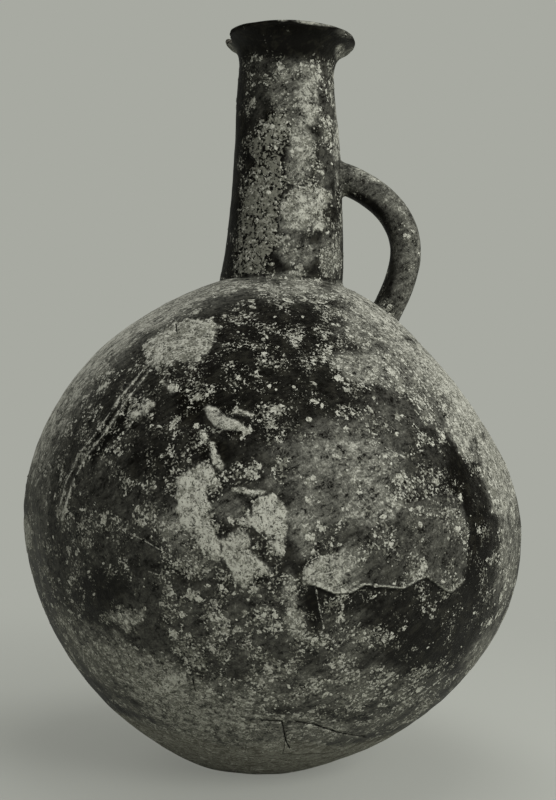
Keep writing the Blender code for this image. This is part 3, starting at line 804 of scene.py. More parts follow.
def make_base(slip, broken):
    profile = base_profile()
    pieces = []
    cuts = (("base", CRACK_OPENING, "DIFFERENCE"), ("sherd", -SHERD_SHRINKAGE, "INTERSECT"))
    for name, by, operation in cuts:
        made = turned(name, *profile, BODY_DIRECTIONS, BODY_LOOK, poles=True)
        made.data.materials.append(slip)
        pieces.append(carved(made, sherd_prism(name + "_prism", by), operation, broken))
    return pieces


NECK_STEP = 0.0008
NECK_DIRECTIONS = columns(NECK_FOOT_RADIUS, NECK_STEP, 2 * NECK_STEP)


def tube(start, end, count, inward=0.0):
    """Points on the neck's wall from one height to another."""
    heights = np.linspace(start, end, count)
    return np.stack((neck_radius(heights) - inward, heights), axis=-1)


def make_neck():
    foot = NECK_FOOT_HEIGHT - BODY_WALL - NECK_PLUG
    outer = tube(NECK_TOP_HEIGHT, NECK_FOOT_HEIGHT, round(NECK_LENGTH / NECK_STEP))
    plug = tube(NECK_FOOT_HEIGHT, foot, 5)[1:]
    inner = tube(foot, NECK_TOP_HEIGHT, 40, NECK_WALL)
    level = np.tile((1.0, 0.0), (len(outer), 1))
    profile = joined(stretch(inner), (outer, level, True), stretch(plug))
    return turned("neck_tube", *profile, NECK_DIRECTIONS, NECK_LOOK)


def make_mouth(slip, broken):
    base = NECK_TOP_HEIGHT
    round_radius = LIP_THICKNESS / 2
    angles = np.linspace(LIP_INNER_END, LIP_OUTER_END, 16)
    lip = np.stack((
        MOUTH_RADIUS - round_radius + round_radius * np.cos(angles),
        MOUTH_TOP_HEIGHT - round_radius + round_radius * np.sin(angles),
    ), axis=-1)
    curves = []
    for radius, lift, end, count in (
        (NECK_TOP_RADIUS, 0, lip[-1], 48),
        (NECK_TOP_RADIUS - NECK_WALL, FLARE_LIFT, lip[0], 36),
    ):
        straight = Vector((radius, base + MOUTH_STRAIGHT + lift))
        turn = Vector((radius + FLARE_LEAN, base + MOUTH_TURN + lift))
        curve = interpolate_bezier(Vector((radius, base)), straight, turn, Vector(end), count)
        curves.append([p[:2] for p in curve])
    under, inner = curves
    round_points, round_normals, _ = stretch(lip[1:-1])
    down_points, down_normals, _ = stretch(spaced(under[::-1], NECK_STEP))
    level = step_up(0, 0.004, down_points[:, 1] - base)[:, None]
    down_normals = down_normals * level + flat((1.0, 0.0)) * (1 - level)
    profile = joined(
        stretch(spaced(inner, INNER_MOUTH_STEP)),
        (round_points, round_normals, True),
        (down_points, down_normals, True),
    )
    mouth = turned("mouth", *profile, NECK_DIRECTIONS, NECK_LOOK)
    mouth.data.materials.append(slip)
    return carved(mouth, chip_pebble(), tool_material=broken)


def chip_pebble():
    """The rough lump whose outside is the scar of the chip."""
    radius = ((CHIP_WIDTH / 2) ** 2 + CHIP_DEPTH**2) / (2 * CHIP_DEPTH)
    outwards = Vector((math.cos(CHIP_AZIMUTH), math.sin(CHIP_AZIMUTH), 0))
    up = Vector((0, 0, 1))
    corner = outwards * MOUTH_RADIUS + up * MOUTH_TOP_HEIGHT + Vector((float(drift(MOUTH_TOP_HEIGHT)), 0, 0))
    blow = outwards * math.cos(CHIP_TILT) + up * math.sin(CHIP_TILT)
    shape = bmesh.new()
    bmesh.ops.create_icosphere(shape, subdivisions=5, radius=radius)
    places = flat([v.co for v in shape.verts])
    rough = 0.0006 * ripple(places, 0.010, 21) + 0.0003 * ripple(places, 0.0035, 22)
    for vertex, by in zip(shape.verts, rough):
        vertex.co += vertex.co.normalized() * float(by)
    pebble = moulded("pebble", shape)
    pebble.data.transform(Matrix.Translation(corner + blow * (radius - CHIP_DEPTH)))
    return pebble


def handle_ends():
    top_height = NECK_FOOT_HEIGHT + HANDLE_RISE
    top = Vector((float(neck_radius(top_height) + drift(top_height)), 0, top_height))
    top_way = Vector((math.cos(HANDLE_DROOP), 0, -math.sin(HANDLE_DROOP)))
    foot = wall_at([angle_at_radius(HANDLE_FOOT_RADIUS, UPPER_CURVE)])[0][0]
    foot_point = Vector((float(foot[0] + drift(foot[1])), 0, float(foot[1])))
    foot_way = Vector((math.sin(HANDLE_FOOT_LEAN), 0, math.cos(HANDLE_FOOT_LEAN)))
    return top, top_way, foot_point, foot_way


def handle_route():
    top, top_way, foot, foot_way = handle_ends()
    bow_height = NECK_FOOT_HEIGHT + HANDLE_BOW_RISE
    bow = Vector((float(HANDLE_FOOT_RADIUS + HANDLE_BOW_OUT + drift(bow_height)), 0, bow_height))
    up = Vector((0, 0, 1))
    upper_pull = (top.z - bow.z) / 2
    lower_pull = (bow.z - foot.z) / 3
    upper = interpolate_bezier(top, top + top_way * upper_pull, bow + up * upper_pull, bow, 90)
    lower = interpolate_bezier(bow, bow - up * lower_pull, foot + foot_way * lower_pull, foot, 60)
    start = top - top_way * (NECK_WALL + TENON_REACH)
    end = foot - foot_way * (BODY_WALL + TENON_REACH)
    return spaced([start] + upper + lower[1:] + [end], HANDLE_STEP)


def roll_tree():
    """A roll of clay along a line of edges. The line's attribute "full" is 1 where the roll is whole and 0
    on its tenons."""
    tree, node, given = start_tree("clay_roll", ("Roll Radius", "Tenon Step", "Unevenness", "Lump Size"))
    full = node("GeometryNodeInputNamedAttribute", "full", data_type="FLOAT")
    radius = node(MATHS, node(MATHS, 1.0, full, **MINUS), given["Tenon Step"], **TIMES)
    radius = node(MATHS, given["Roll Radius"], radius, **MINUS)
    line = node("GeometryNodeMeshToCurve", given["Geometry"])
    ring = node("GeometryNodeCurvePrimitiveCircle", ROLL_SIDES, 1.0)
    roll = node("GeometryNodeCurveToMesh", line, ring, radius, True)
    fineness = node(MATHS, 1.0, given["Lump Size"], operation="DIVIDE")
    lumps = node("ShaderNodeTexNoise", None, fineness, 2.0)
    swell = node(MATHS, lumps, 0.5, **MINUS)
    for factor in (given["Unevenness"], full):
        swell = node(MATHS, swell, factor, **TIMES)
    offset = node(VECTORS, node("GeometryNodeInputNormal"), swell, operation="SCALE")
    roll = node("GeometryNodeSetPosition", roll, None, None, offset)
    return end_tree(tree, roll, given["Material"])


def make_handle(slip):
    """The clay roll, with a thinner tenon through the wall at each end."""
    route = handle_route()
    top, _, foot, _ = handle_ends()
    along = distances(route)
    start, end = [along[np.argmin(np.linalg.norm(route - flat(p), axis=1))] for p in (top, foot)]
    full = step_up(start - 0.002, start + 0.001, along) * (1 - step_up(end - 0.001, end + 0.002, along))
    roll = piece("handle_roll", route, [], [(i, i + 1) for i in range(len(route) - 1)])
    store(roll.data, "full", full)
    sizes = {"Roll Radius": HANDLE_RADIUS, "Tenon Step": TENON_STEP, "Unevenness": 0.0012, "Lump Size": 0.02}
    return shaped(roll, roll_tree(), {**sizes, "Material": slip})


def flake_tree():
    """Flat crumbs of lime lying on a surface, more of them where its attribute "flakes" is higher."""
    sizes = ("Flake Width", "Flake Thickness", "Least Spacing", "Most Per Square Metre", "Ragged Edge")
    tree, node, given = start_tree("lime_crumbs", sizes, ("Seed",))
    plenty = node("GeometryNodeInputNamedAttribute", "flakes", data_type="FLOAT")
    spots = node(
        "GeometryNodeDistributePointsOnFaces", given["Geometry"], None, given["Least Spacing"],
        given["Most Per Square Metre"], plenty, given["Seed"], distribute_method="POISSON",
    ).node.outputs
    chances = []
    for low, high, step in ((0.0, math.tau, 11), (0.0, 1.0, 12), (0.5, 2.0, 13), (0.5, 1.2, 14)):
        seed = node(MATHS, given["Seed"], step)
        chances.append(node("FunctionNodeRandomValue", low, high, None, seed, data_type="FLOAT"))
    spin, size, longer, thicker = chances
    turn = node("FunctionNodeAxisAngleToRotation", (0, 0, 1), spin)
    facing = node("FunctionNodeRotateRotation", spots["Rotation"], turn, rotation_space="LOCAL")
    size = node(MATHS, node(MATHS, size, 2.5, operation="POWER"), 1.2, 0.3, **PLUS)
    width = node(MATHS, size, given["Flake Width"], **TIMES)
    length = node(MATHS, width, longer, **TIMES)
    height = node(MATHS, thicker, given["Flake Thickness"], **TIMES)
    scale = node("ShaderNodeCombineXYZ", length, width, height)
    crumb = node("GeometryNodeMeshUVSphere", 9, 4, 0.5)
    laid = node("GeometryNodeInstanceOnPoints", spots["Points"], None, crumb, None, None, facing, scale)
    laid = node("GeometryNodeRealizeInstances", laid)
    torn = node("ShaderNodeTexNoise", None, 520.0, 2.0, output="Color")
    torn = node(VECTORS, torn, (0.5, 0.5, 0.5), **MINUS)
    offset = node(VECTORS, torn, given["Ragged Edge"], operation="SCALE")
    laid = node("GeometryNodeSetPosition", laid, None, None, offset)
    return end_tree(tree, laid, given["Material"])


def make_crumbs(carriers, lime):
    """Loose crumbs of lime on the walls, shoulder, neck, collar and handle, as one piece."""
    tree = flake_tree()
    sizes = {
        "Flake Width": 0.0024,
        "Flake Thickness": 0.0005,
        "Least Spacing": 0.0019,
        "Most Per Square Metre": 30000.0,
        "Ragged Edge": 0.0016,
        "Material": lime,
    }
    shape = bmesh.new()
    for seed, carrier in enumerate(carriers, 1):
        copy = shaped(placed(carrier.name, carrier.data.copy()), tree, {**sizes, "Seed": seed})
        shape.from_mesh(copy.data)
        bpy.data.objects.remove(copy, do_unlink=True)
    crumbs_of_lime = moulded("lime_crumbs", shape)
    crumbs_of_lime.data.materials.append(lime)
    return crumbs_of_lime


def surface(*objs):
    """A tree for finding where a straight line meets these pieces."""
    points, faces = [], []
    for obj in objs:
        start = len(points)
        points.extend(v.co.copy() for v in obj.data.vertices)
        faces.extend([start + i for i in p.vertices] for p in obj.data.polygons)
    return BVHTree.FromPolygons(points, faces)


def make_luting(name, point, way, walls):
    """The clay smeared round an end of the handle. Its thin edge runs out just under the wall's surface."""
    tree = surface(*walls)
    quarter = way.orthogonal().normalized()
    other = way.cross(quarter)
    count, rows = LUTING_SPOKES, LUTING_ROWS
    waist, sunk = HANDLE_RADIUS - 0.0002, HANDLE_RADIUS - 0.0006
    phases = np.random.default_rng(31).uniform(0, math.tau, 3)
    points = np.zeros((rows + 2, count, 3))
    for j in range(count):
        turn = math.tau * j / count
        spoke = quarter * math.cos(turn) + other * math.sin(turn)
        smear = 1 + 0.18 * math.sin(2 * turn + phases[0]) + 0.12 * math.sin(5 * turn + phases[1])
        reach = HANDLE_RADIUS + LUTING_SPREAD * smear
        start = point + spoke * reach + way * RAY_START
        hit, _, _, _ = tree.ray_cast(start, -way, 2 * RAY_START)
        toe = (hit - point).dot(way) - 0.0003 if hit is not None else 0.0
        top = max(toe, 0) + LUTING_RISE
        shares = [i / (rows - 1) for i in range(rows - 1)]
        bend = [(waist + (reach - waist) * t**2.2, toe + (top - toe) * (1 - t) ** 2.2) for t in shares]
        bend += [(reach, toe), (sunk, toe - 0.001), (sunk, top + 0.0004)]
        for i, (radius, height) in enumerate(bend):
            points[i, j] = point + spoke * radius + way * height
    return tidied(piece(name, points.reshape(-1, 3), grid_faces(rows + 2, count)))


def tidied(obj):
    """The piece with all its faces turned outwards."""
    shape = bmesh.new()
    shape.from_mesh(obj.data)
    bmesh.ops.recalc_face_normals(shape, faces=shape.faces)
    shape.to_mesh(obj.data)
    shape.free()
    return obj


def make_collar(walls):
    """The clay pressed into the corner between shoulder and neck, its edges thinned out by hand."""
    tree = surface(*walls)
    rows, lift = COLLAR_ROWS, 0.0002
    points = np.zeros((rows + 2, len(NECK_DIRECTIONS), 3))
    for j, direction in enumerate(NECK_DIRECTIONS):
        spoke = Vector((math.cos(direction), math.sin(direction), 0))
        reach = COLLAR_REACH * (1 + 0.2 * math.sin(3 * direction) + 0.1 * math.sin(7 * direction + 1))
        crest_height = NECK_FOOT_HEIGHT + COLLAR_RISE * (1 + 0.2 * math.sin(4 * direction + 2))
        middle = Vector((float(drift(NECK_FOOT_HEIGHT)), 0, 0))
        toe_start = middle + spoke * (NECK_FOOT_RADIUS + reach) + Vector((0, 0, NECK_FOOT_HEIGHT + 0.004))
        toe, _, _, _ = tree.ray_cast(toe_start, Vector((0, 0, -1)), 0.03)
        high_middle = Vector((float(drift(crest_height)), 0, crest_height))
        crest, _, _, _ = tree.ray_cast(high_middle + spoke * 0.055, -spoke, 0.03)
        toe = toe if toe is not None else toe_start - Vector((0, 0, 0.006))
        crest = crest if crest is not None else high_middle + spoke * neck_radius(crest_height)
        toe = toe - Vector((0, 0, lift))
        crest = crest - spoke * lift
        corner = Vector((crest.x, crest.y, toe.z)) + spoke * 0.0006 + Vector((0, 0, 0.0006))
        for i, p in enumerate(interpolate_bezier(crest, corner, corner, toe, rows)):
            points[i, j] = p
        points[rows, j] = toe - Vector((0, 0, 0.0012)) - spoke * 0.001
        points[rows + 1, j] = crest - spoke * 0.0012 - Vector((0, 0, 0.001))
    return tidied(piece("collar", points.reshape(-1, 3), grid_faces(rows + 2, len(NECK_DIRECTIONS))))


# Colour and finish


def linear(colour):
    """An sRGB hex colour as linear light."""
    channels = [int(colour[i : i + 2], 16) / 255 for i in (1, 3, 5)]
    return [c / 12.92 if c <= 0.04045 else ((c + 0.055) / 1.055) ** 2.4 for c in channels] + [1.0]


def add(tree, kind, *values, output=0, **settings):
    """Adds a node with its settings, sets or links its inputs in their order, and returns an output."""
    node = tree.nodes.new(kind)
    for name, value in settings.items():
        setattr(node, name, value)
    for socket, value in zip([s for s in node.inputs if s.enabled], values):
        if isinstance(value, bpy.types.NodeSocket):
            tree.links.new(value, socket)
        elif value is not None:
            socket.default_value = value
    if isinstance(output, str):
        return node.outputs[output]
    return [s for s in node.outputs if s.enabled][output] if node.outputs else node


def start_tree(name, lengths, counts=()):
    """A tree of geometry nodes with these named inputs, the adder of its nodes, and the inputs' values."""
    tree = bpy.data.node_groups.new(name, "GeometryNodeTree")
    kinds = [("Geometry", "Geometry"), *((n, "Float") for n in lengths), *((n, "Int") for n in counts)]
    for title, kind in (*kinds, ("Material", "Material")):
        tree.interface.new_socket(title, in_out="INPUT", socket_type="NodeSocket" + kind)
    tree.interface.new_socket("Geometry", in_out="OUTPUT", socket_type="NodeSocketGeometry")
    return tree, partial(add, tree), tree.nodes.new("NodeGroupInput").outputs


def end_tree(tree, made, material):
    made = add(tree, "GeometryNodeRealizeInstances", made)
    made = add(tree, "GeometryNodeSetMaterial", made, None, material)
    tree.links.new(made, tree.nodes.new("NodeGroupOutput").inputs[0])
    return tree


def start_material(name):
    """A new material, the adder of its nodes, and the place on the object."""
    material = bpy.data.materials.new(name)
    material.use_nodes = True
    node = partial(add, material.node_tree)
    return material, node, node("ShaderNodeTexCoord", output="Object")


def end_material(material, colour, roughness, specular, raised):
    """Sets the shader's own sockets. The surface stands out by "raised", in metres."""
    tree = material.node_tree
    sockets = tree.nodes["Principled BSDF"].inputs
    tree.links.new(colour, sockets["Base Color"])
    if isinstance(roughness, float):
        sockets["Roughness"].default_value = roughness
    else:
        tree.links.new(roughness, sockets["Roughness"])
    sockets["Specular IOR Level"].default_value = specular
    tree.links.new(add(tree, "ShaderNodeBump", 1.0, 1.0, None, raised), sockets["Normal"])
    return material


MATHS = "ShaderNodeMath"
VECTORS = "ShaderNodeVectorMath"
RANGE = "ShaderNodeMapRange"
MIX = "ShaderNodeMix"
PLUS = {"operation": "MULTIPLY_ADD"}
TIMES = {"operation": "MULTIPLY"}
MINUS = {"operation": "SUBTRACT"}
MOST = {"operation": "MAXIMUM"}
EASED = {"interpolation_type": "SMOOTHSTEP"}
COLOURS = {"data_type": "RGBA"}
STROKE_RISE = math.radians(35)
LINE_WIDTH = 0.0006
HOLLOW_LEVELS = (0.42, 0.0, 0.3)  # of lime, crust and film inside the jug
FLAKE_LAYERS = (  # size of their cells, how lime makes them more, fewest, how they drift together
    (0.0019, 1.3, -0.52, 0.34),
    (0.0038, 1.6, -0.50, 0.36),
    (0.0074, 1.6, -0.62, 0.34),
)

BLACK_SLIP = linear("#0D0C09")
BROWN_SLIP = linear("#1B1A14")
GREY_FILM = linear("#77776D")
LIME = linear("#AFAFA2")
OLD_LIME = linear("#6C6C61")
PIT = linear("#33332C")
BARE_CLAY = linear("#86867A")
FRESH_CLAY = linear("#5A584E")
CLAY_CORE = linear("#1A1914")
CLAY_GRIT = linear("#66635A")
BACKGROUND = linear("#A8AAA2")
UNLIT = linear("#141412")
WHITE = linear("#FFFFFF")
DRY_SHEEN = 0.13


def grain(node, place, cell, detail=2.0, roughness=0.5, swirl=0.0):
    """An even field about 0, mostly between -2 and 2, whose main features are about a cell apart."""
    value = node("ShaderNodeTexNoise", place, 1 / cell, detail, roughness, 2.0, swirl)
    return node(MATHS, value, 15.0, -7.5, **PLUS)


def flakes(node, place, ragged, cell, plenty):
    """Separate torn flakes, at most one to each cell of this size, and a chance value for each."""
    torn = node("ShaderNodeTexNoise", place, 2.6 / cell, 2.0, output="Color")
    strayed = node(VECTORS, torn, (0.9 * cell,) * 3, place, **PLUS)
    cells = node("ShaderNodeTexVoronoi", strayed, 1 / cell).node.outputs
    chance = node("ShaderNodeSeparateColor", cells["Color"]).node.outputs
    here = node(MATHS, plenty, chance["Red"], operation="GREATER_THAN")
    radius = node(MATHS, chance["Green"], 0.34, 0.16, **PLUS)
    depth = node(MATHS, radius, cells["Distance"], **MINUS)
    depth = node(MATHS, ragged, 0.07, depth, **PLUS)
    share = node(RANGE, depth, 0.0, 0.09, **EASED)
    return node(MATHS, share, here, **TIMES), chance["Blue"]


def buried_slip(name):
    """Low-fired clay under a black slip that was rubbed with a pebble while leather hard, so it keeps a
    low sheen, and then long burial: grey film, loose flecks and crumbly crusts of lime over it."""
    material, node, place = start_material(name)
    lime, crust, film, bare = [
        node("ShaderNodeAttribute", output="Fac", attribute_name=n) for n in ("lime", "crust", "film", "bare")
    ]
    fine = grain(node, place, 0.0014, 1.5, 0.6)
    medium = grain(node, place, 0.0036, 4.0, 0.7)
    clumps = grain(node, place, 0.014, 3.0, 0.5)
    elsewhere = node(VECTORS, place, (3.1, 1.7, 2.3))
    dust = grain(node, elsewhere, 0.0022, 3.0, 0.65, 1.2)
    clouds = grain(node, elsewhere, 0.007, 4.0, 0.6)
    along = node("ShaderNodeVectorRotate", place, (0, 0, 0), (0, 1, 0), STROKE_RISE)
    strokes = grain(node, node(VECTORS, along, (0.14, 1.0, 1.0), **TIMES), 0.0024, 2.0, 0.6)

    # slip, burnished in slanting strokes and rubbed brown in places
    rubbed = node(RANGE, node(MATHS, strokes, 0.6, clouds, **PLUS), 0.0, 2.2, **EASED)
    colour = node(MIX, rubbed, BLACK_SLIP, BROWN_SLIP, **COLOURS)

    # film of fine grey lime dust, grainy, and paler where it has built up into a smooth coat; the painted
    # highlights and sheen in the marks are laid on as this film too
    grit = node(MATHS, clouds, 0.6, dust, **PLUS)
    grit = node(MATHS, strokes, 0.6, grit, **PLUS)
    film_share = node(MATHS, grit, 0.30, 1.0, **PLUS)
    film_share = node(MATHS, film_share, film, use_clamp=True, **TIMES)
    coat = node(RANGE, node(MATHS, grit, 0.20, film, **PLUS), 0.65, 1.75, **EASED)
    colour = node(MIX, film_share, colour, node(MIX, coat, GREY_FILM, LIME, **COLOURS), **COLOURS)

    # slip worn off down to the grey clay
    bare_share = node(RANGE, node(MATHS, medium, 0.06, bare, **PLUS), 0.35, 0.65, **EASED)
    clay = node(MIX, node(RANGE, grit, -2.0, 1.8, **EASED), FRESH_CLAY, BARE_CLAY, **COLOURS)
    colour = node(MIX, bare_share, colour, clay, **COLOURS)

    # specks of lime dust, and loose flakes of it in three sizes, in drifts
    needed = node(MATHS, lime, -2.8, 3.0, **PLUS)
    specks = node(MATHS, node(MATHS, clumps, 0.8, fine, **PLUS), needed, **MINUS)
    lime_share = node(RANGE, specks, 0.0, 0.3, 0.0, 0.8, **EASED)
    colour = node(MIX, lime_share, colour, OLD_LIME, **COLOURS)
    raised = 0.0
    for cell, more, base, drifts in FLAKE_LAYERS:
        plenty = node(MATHS, lime, more, base, **PLUS)
        plenty = node(MATHS, clumps, drifts, plenty, **PLUS)
        share, age = flakes(node, place, fine, cell, plenty)
        tone = node(RANGE, node(MATHS, age, 2.4, dust, **PLUS), -0.6, 2.4, **EASED)
        colour = node(MIX, share, colour, node(MIX, tone, OLD_LIME, LIME, **COLOURS), **COLOURS)
        lime_share = node(MATHS, lime_share, share, **MOST)
        raised = node(MATHS, share, 0.07 * cell, raised, **PLUS)

    # whole crust: pale and close-grained, with small dark pits, its plates parting where it is thin
    border = node(MATHS, medium, 0.10, crust, **PLUS)
    border = node(MATHS, fine, 0.04, border, **PLUS)
    crust_share = node(RANGE, border, 0.44, 0.52, **EASED)
    tone = clouds
    # the tone is paler on the high plates and darker in the joints between them, partly a painted shade of
    # the crust's relief
    for field, weight in ((dust, 1.4), (clumps, 0.5), (border, 3.2), (film, 1.6)):
        tone = node(MATHS, field, weight, tone, **PLUS)
    crust_tone = node(MIX, node(RANGE, tone, 0.5, 6.0, **EASED), OLD_LIME, LIME, **COLOURS)
    pits = node(RANGE, node(MATHS, medium, 0.5, fine, **PLUS), -1.9, -1.3, 0.85, 0.0, **EASED)
    crust_tone = node(MIX, pits, crust_tone, PIT, **COLOURS)
    colour = node(MIX, crust_share, colour, crust_tone, **COLOURS)
    lime_share = node(MATHS, lime_share, crust_share, **MOST)

    # fine lines: pale along scratches and ridges and, as a painted highlight, along the lit lower edge of the
    # sheet of crust; dark where cracked
    for attribute, shade in (("scratch_and_lit_edge", LIME), ("crack", BLACK_SLIP)):
        line = node("ShaderNodeAttribute", output="Vector", attribute_name=attribute)
        parts = node("ShaderNodeSeparateXYZ", line).node.outputs
        aside = node(MATHS, medium, 0.00014, node(MATHS, parts["X"], operation="ABSOLUTE"), **PLUS)
        thin = node(RANGE, aside, LINE_WIDTH * 0.3, LINE_WIDTH, 1.0, 0.0, **EASED)
        ends = node(RANGE, parts["Y"], LINE_WIDTH * 1.6, LINE_WIDTH * 2.4, 1.0, 0.0, **EASED)
        share = node(MATHS, thin, ends, **TIMES)
        if attribute == "scratch_and_lit_edge":
            share = node(MATHS, share, node(RANGE, dust, -0.8, 1.0, 0.0, 0.8, **EASED), **TIMES)
        colour = node(MIX, share, colour, shade, **COLOURS)

    # thickness of flakes, crust and dust, and its pits
    raised = node(MATHS, crust_share, 0.0004, raised, **PLUS)
    raised = node(MATHS, node(MATHS, pits, crust_share, **TIMES), -0.0003, raised, **PLUS)
    raised = node(MATHS, dust, 0.00003, raised, **PLUS)
    dull = node(MATHS, node(MATHS, lime_share, film_share, **MOST), bare_share, **MOST)
    rough = node(RANGE, dull, 0.0, 1.0, 0.50, 0.94, **EASED)
    return end_material(material, colour, rough, DRY_SHEEN, raised)


def gritty(name, fine_grain, broad_grain, weight, span, shades, relief, specular):
    """A matt, gritty surface between two shades. Its grit stands out by "relief", in metres."""
    material, node, place = start_material(name)
    fine = grain(node, place, *fine_grain)
    tone = node(MATHS, grain(node, place, *broad_grain), weight, fine, **PLUS)
    colour = node(MIX, node(RANGE, tone, *span, **EASED), *shades, **COLOURS)
    return end_material(material, colour, 0.95, specular, node(MATHS, fine, relief, **TIMES))


def read(data, name):
    """A vector of each element, as rows."""
    values = np.zeros(3 * len(data))
    data.foreach_get(name, values)
    return values.reshape(-1, 3)


def weather(obj, look):
    """Stores the levels of lime, crust, film and bare clay, and the lines, on a finished mesh."""
    mesh = obj.data
    points, normals = read(mesh.vertices, "co"), read(mesh.vertices, "normal")
    worked = np.zeros(len(points), dtype=bool)
    if "outwards" in mesh.attributes:
        given = read(mesh.attributes["outwards"].data, "vector")
        worked = np.linalg.norm(given, axis=1) > 0.9
        normals[worked] = given[worked]
    levels, _ = levels_at(points, normals, look)
    axis = np.stack((points[:, 0] - drift(points[:, 2]), points[:, 1]), axis=-1)
    hollow = (axis * normals[:, :2]).sum(axis=1) < -0.3 * np.linalg.norm(axis, axis=1)
    hollow &= ~worked & (look is not HANDLE_LOOK)
    levels[hollow] = HOLLOW_LEVELS
    for name, values in zip(("lime", "crust", "film"), levels.T):
        store(mesh, name, values)
    bare = 1 - step_up(0.022, 0.05, points[:, 2] + 0.004 * ripple(points, 0.07, 11))
    store(mesh, "bare", bare)
    clear = 1 - step_up(0.9, 1.2, levels[:, 2])
    drifts = 0.35 * ripple(points, 0.03, 41) + 0.2 * ripple(points, 0.012, 42)
    loose = np.clip(1.7 * levels[:, 0] - 0.62 + drifts, 0, 1) * clear * (1 - bare) * ~hollow
    store(mesh, "flakes", loose * (0.3 if look is HANDLE_LOOK else 1.0))
    on_body = step_up(-0.12, 0.12, -normals[:, 1]) * (look is BODY_LOOK)
    for name, group in (("scratch_and_lit_edge", PALE_LINES), ("crack", CRACKS)):
        store(mesh, name, lines(seen(points), group, on_body))


def lines(places, group, allowed):
    """Offset to the side of the nearest line and distance from it, in metres on the jug's axis."""
    nearest, offset = to_segments(places, *group)
    nearest = np.where(allowed > 0.5, nearest, FAR_OFF)
    return np.stack((offset, nearest, 0 * nearest), axis=-1) * PIXEL


def store(mesh, name, values):
    values = np.asarray(values, dtype=np.float32)
    kind, key = ("FLOAT", "value") if values.ndim == 1 else ("FLOAT_VECTOR", "vector")
    mesh.attributes.new(name, kind, "POINT").data.foreach_set(key, values.ravel())


def finish_piece(obj, node):
    mesh = obj.data
    mesh.shade_smooth()
    mesh.set_sharp_from_angle(angle=SHARP_ANGLE)
    if "rim" in mesh.attributes:
        at_rim = [point.value > 0.5 for point in mesh.attributes["rim"].data]
        for edge in mesh.edges:
            if all(at_rim[i] for i in edge.vertices):
                edge.use_edge_sharp = True
    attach(obj, "root")
    if node:
        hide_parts(node)


# Studio
FLOOR_RADIUS = 5.0
FLOOR_FADE = (0.20, 0.70, 0.45, 1.0)  # from this far to that far out, the share of plain background


def make_floor():
    """A pale seamless floor. Away from the jug it takes the plain tone of the background."""
    shape = bmesh.new()
    bmesh.ops.create_circle(shape, cap_ends=True, radius=FLOOR_RADIUS, segments=FLOOR_SIDES)
    obj = moulded("floor", shape)
    material, node, place = start_material("pale_studio_paper")
    tree = material.node_tree
    tree.nodes.remove(tree.nodes["Principled BSDF"])
    away = node(VECTORS, place, operation="LENGTH", output="Value")
    rays = node("ShaderNodeLightPath").node.outputs
    direct = node(MATHS, rays["Is Camera Ray"], rays["Is Glossy Ray"], **MOST)
    direct = node(MATHS, direct, rays["Is Transmission Ray"], **MOST)
    direct = node(MATHS, direct, node(RANGE, away, *FLOOR_FADE, **EASED), **TIMES)
    paper = node("ShaderNodeBsdfDiffuse", BACKGROUND)
    tone = node("ShaderNodeEmission", BACKGROUND, 1.0)
    mixed = node("ShaderNodeMixShader", direct, paper, tone)
    tree.links.new(mixed, tree.nodes["Material Output"].inputs["Surface"])
    obj.data.materials.append(material)


AMBIENT = 0.30
MIRRORED = 0.6


def make_world():
    world = bpy.data.worlds.new("studio")
    bpy.context.scene.world = world
    world.use_nodes = True
    tree = world.node_tree
    tree.nodes.clear()
    node = partial(add, tree)
    rays = node("ShaderNodeLightPath").node.outputs
    direct = node(MATHS, rays["Is Camera Ray"], rays["Is Transmission Ray"], **MOST)
    way = node("ShaderNodeSeparateXYZ", node("ShaderNodeTexCoord", output="Generated")).node.outputs
    above = node(RANGE, way["Z"], -0.1, 0.25, **EASED)
    behind = node(RANGE, way["Y"], 0.3, 0.8, **EASED)
    pale = node(MATHS, above, behind, **TIMES)
    dim = node("ShaderNodeBackground", WHITE, AMBIENT)
    mirrored = node("ShaderNodeBackground", node(MIX, pale, UNLIT, BACKGROUND, **COLOURS), MIRRORED)
    shown = node("ShaderNodeBackground", BACKGROUND, 1.0)
    lit = node("ShaderNodeMixShader", rays["Is Glossy Ray"], dim, mirrored)
    mixed = node("ShaderNodeMixShader", direct, lit, shown)
    tree.links.new(mixed, tree.nodes.new("ShaderNodeOutputWorld").inputs["Surface"])


LAMP_AIM = Vector((0, 0, 0.22))
LAMPS = (  # name, place, size, watts
    ("key", (1.15, -1.20, 0.95), 0.8, 22.5),
    ("top", (0.20, -0.10, 1.75), 0.9, 10.0),
    ("right_edge", (1.30, 0.45, 0.60), 0.8, 8.0),
    ("left_rim", (-0.90, 1.25, 0.95), 0.8, 5.0),
    ("fill", (-0.95, -1.30, 0.10), 1.0, 5.5),
)


def make_lamps():
    for name, place, size, power in LAMPS:
        light = bpy.data.lights.new(name, "AREA")
        light.size, light.energy = size, power
        obj = placed(name, light)
        obj.location = place
        obj.rotation_euler = (LAMP_AIM - Vector(place)).to_track_quat("-Z", "Y").to_euler()
        obj.visible_glossy = False


def make_camera():
    camera = bpy.data.cameras.new("camera")
    camera.sensor_width = SENSOR
    camera.lens = SENSOR * FOCAL_PIXELS / FRAME_HEIGHT
    camera.shift_y = (VIEW_CENTRE[1] - FRAME_HEIGHT / 2) / FRAME_HEIGHT
    camera.clip_start, camera.clip_end = 0.01, 50
    obj = placed("camera", camera)
    turn = Matrix(((ROLL_COS, 0, ROLL_SIN), (-ROLL_SIN, 0, ROLL_COS), (0, -1, 0))).transposed()
    obj.matrix_world = Matrix.Translation(CAMERA_PLACE) @ turn.to_4x4()
    bpy.context.scene.camera = obj


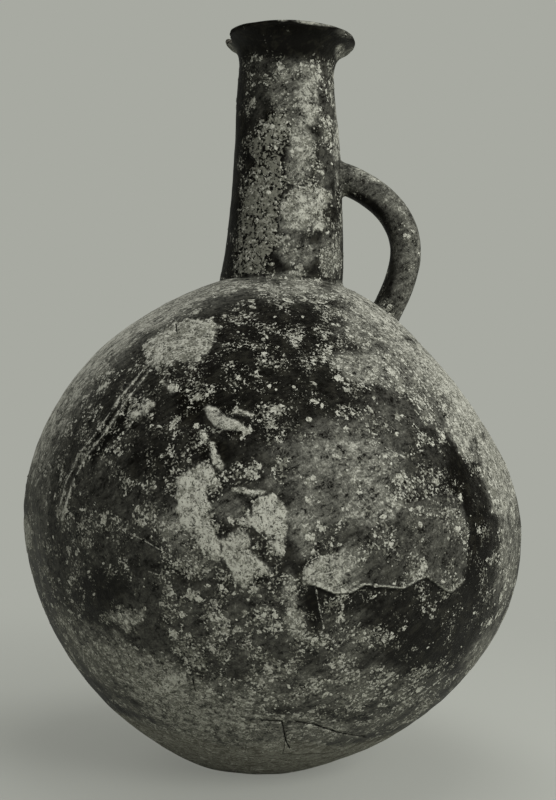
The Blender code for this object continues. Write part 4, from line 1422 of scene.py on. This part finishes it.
def build():
    make_camera()
    make_floor()
    make_world()
    make_lamps()
    bpy.context.scene.view_settings.view_transform = "Standard"

    slip = buried_slip("burnished_black_slip")
    # a fresh break through low-fired clay: dark reduced core, gritty, with no sheen
    grit, shades = ((0.0008, 3.0, 0.7), (0.004, 2.0)), (CLAY_CORE, CLAY_GRIT)
    broken = gritty("broken_clay", *grit, 1.0, (-1.5, 2.5), shades, 0.00004, 0.2)
    # loose crumbs of burial lime: chalky and matt, greyer where old
    grit, shades = ((0.0010, 2.0, 0.6), (0.008, 3.0, 0.6)), (OLD_LIME, LIME)
    lime = gritty("burial_lime", *grit, 0.8, (-1.6, 1.6), shades, 0.00003, DRY_SHEEN)
    lower = course("lower_course", BASE_SEAM_HEIGHT, GIRTH_HEIGHT)
    upper = course("upper_course", GIRTH_HEIGHT, SHOULDER_SEAM_HEIGHT)
    shoulder = make_shoulder()
    base, sherd = make_base(slip, broken)
    neck = make_neck()
    mouth = make_mouth(slip, broken)
    handle = make_handle(slip)
    collar = make_collar((shoulder, neck))
    top, top_way, foot, foot_way = handle_ends()
    upper_luting = make_luting("upper_smear", top, top_way, (neck,))
    lower_luting = make_luting("lower_smear", foot, foot_way, (shoulder,))
    for obj in (lower, upper, shoulder, neck, collar, upper_luting, lower_luting):
        obj.data.materials.append(slip)

    pieces = (
        (lower, "lower_wall", "burnished_slip", BODY_LOOK),
        (upper, "upper_wall", "burnished_slip", BODY_LOOK),
        (shoulder, "shoulder_wall", "burnished_slip", BODY_LOOK),
        (base, "base_bowl", "worn_clay", BODY_LOOK),
        (sherd, "base_sherd", "worn_clay", BODY_LOOK),
        (neck, "neck", "limed_slip", NECK_LOOK),
        (mouth, "mouth_rim", "burnished_slip", NECK_LOOK),
        (handle, "handle", "burnished_slip", HANDLE_LOOK),
        (collar, "neck_collar", "limed_slip", BODY_LOOK),
        (upper_luting, "upper_handle_luting", "limed_slip", HANDLE_LOOK),
        (lower_luting, "lower_handle_luting", "burnished_slip", HANDLE_LOOK),
    )
    for obj, _, _, look in pieces:
        weather(obj, look)
    crumbs_of_lime = make_crumbs((lower, upper, shoulder, neck, collar, handle), lime)
    for obj, node, slot, _ in pieces:
        finish_piece(obj, node)
    finish_piece(crumbs_of_lime, None)


build()
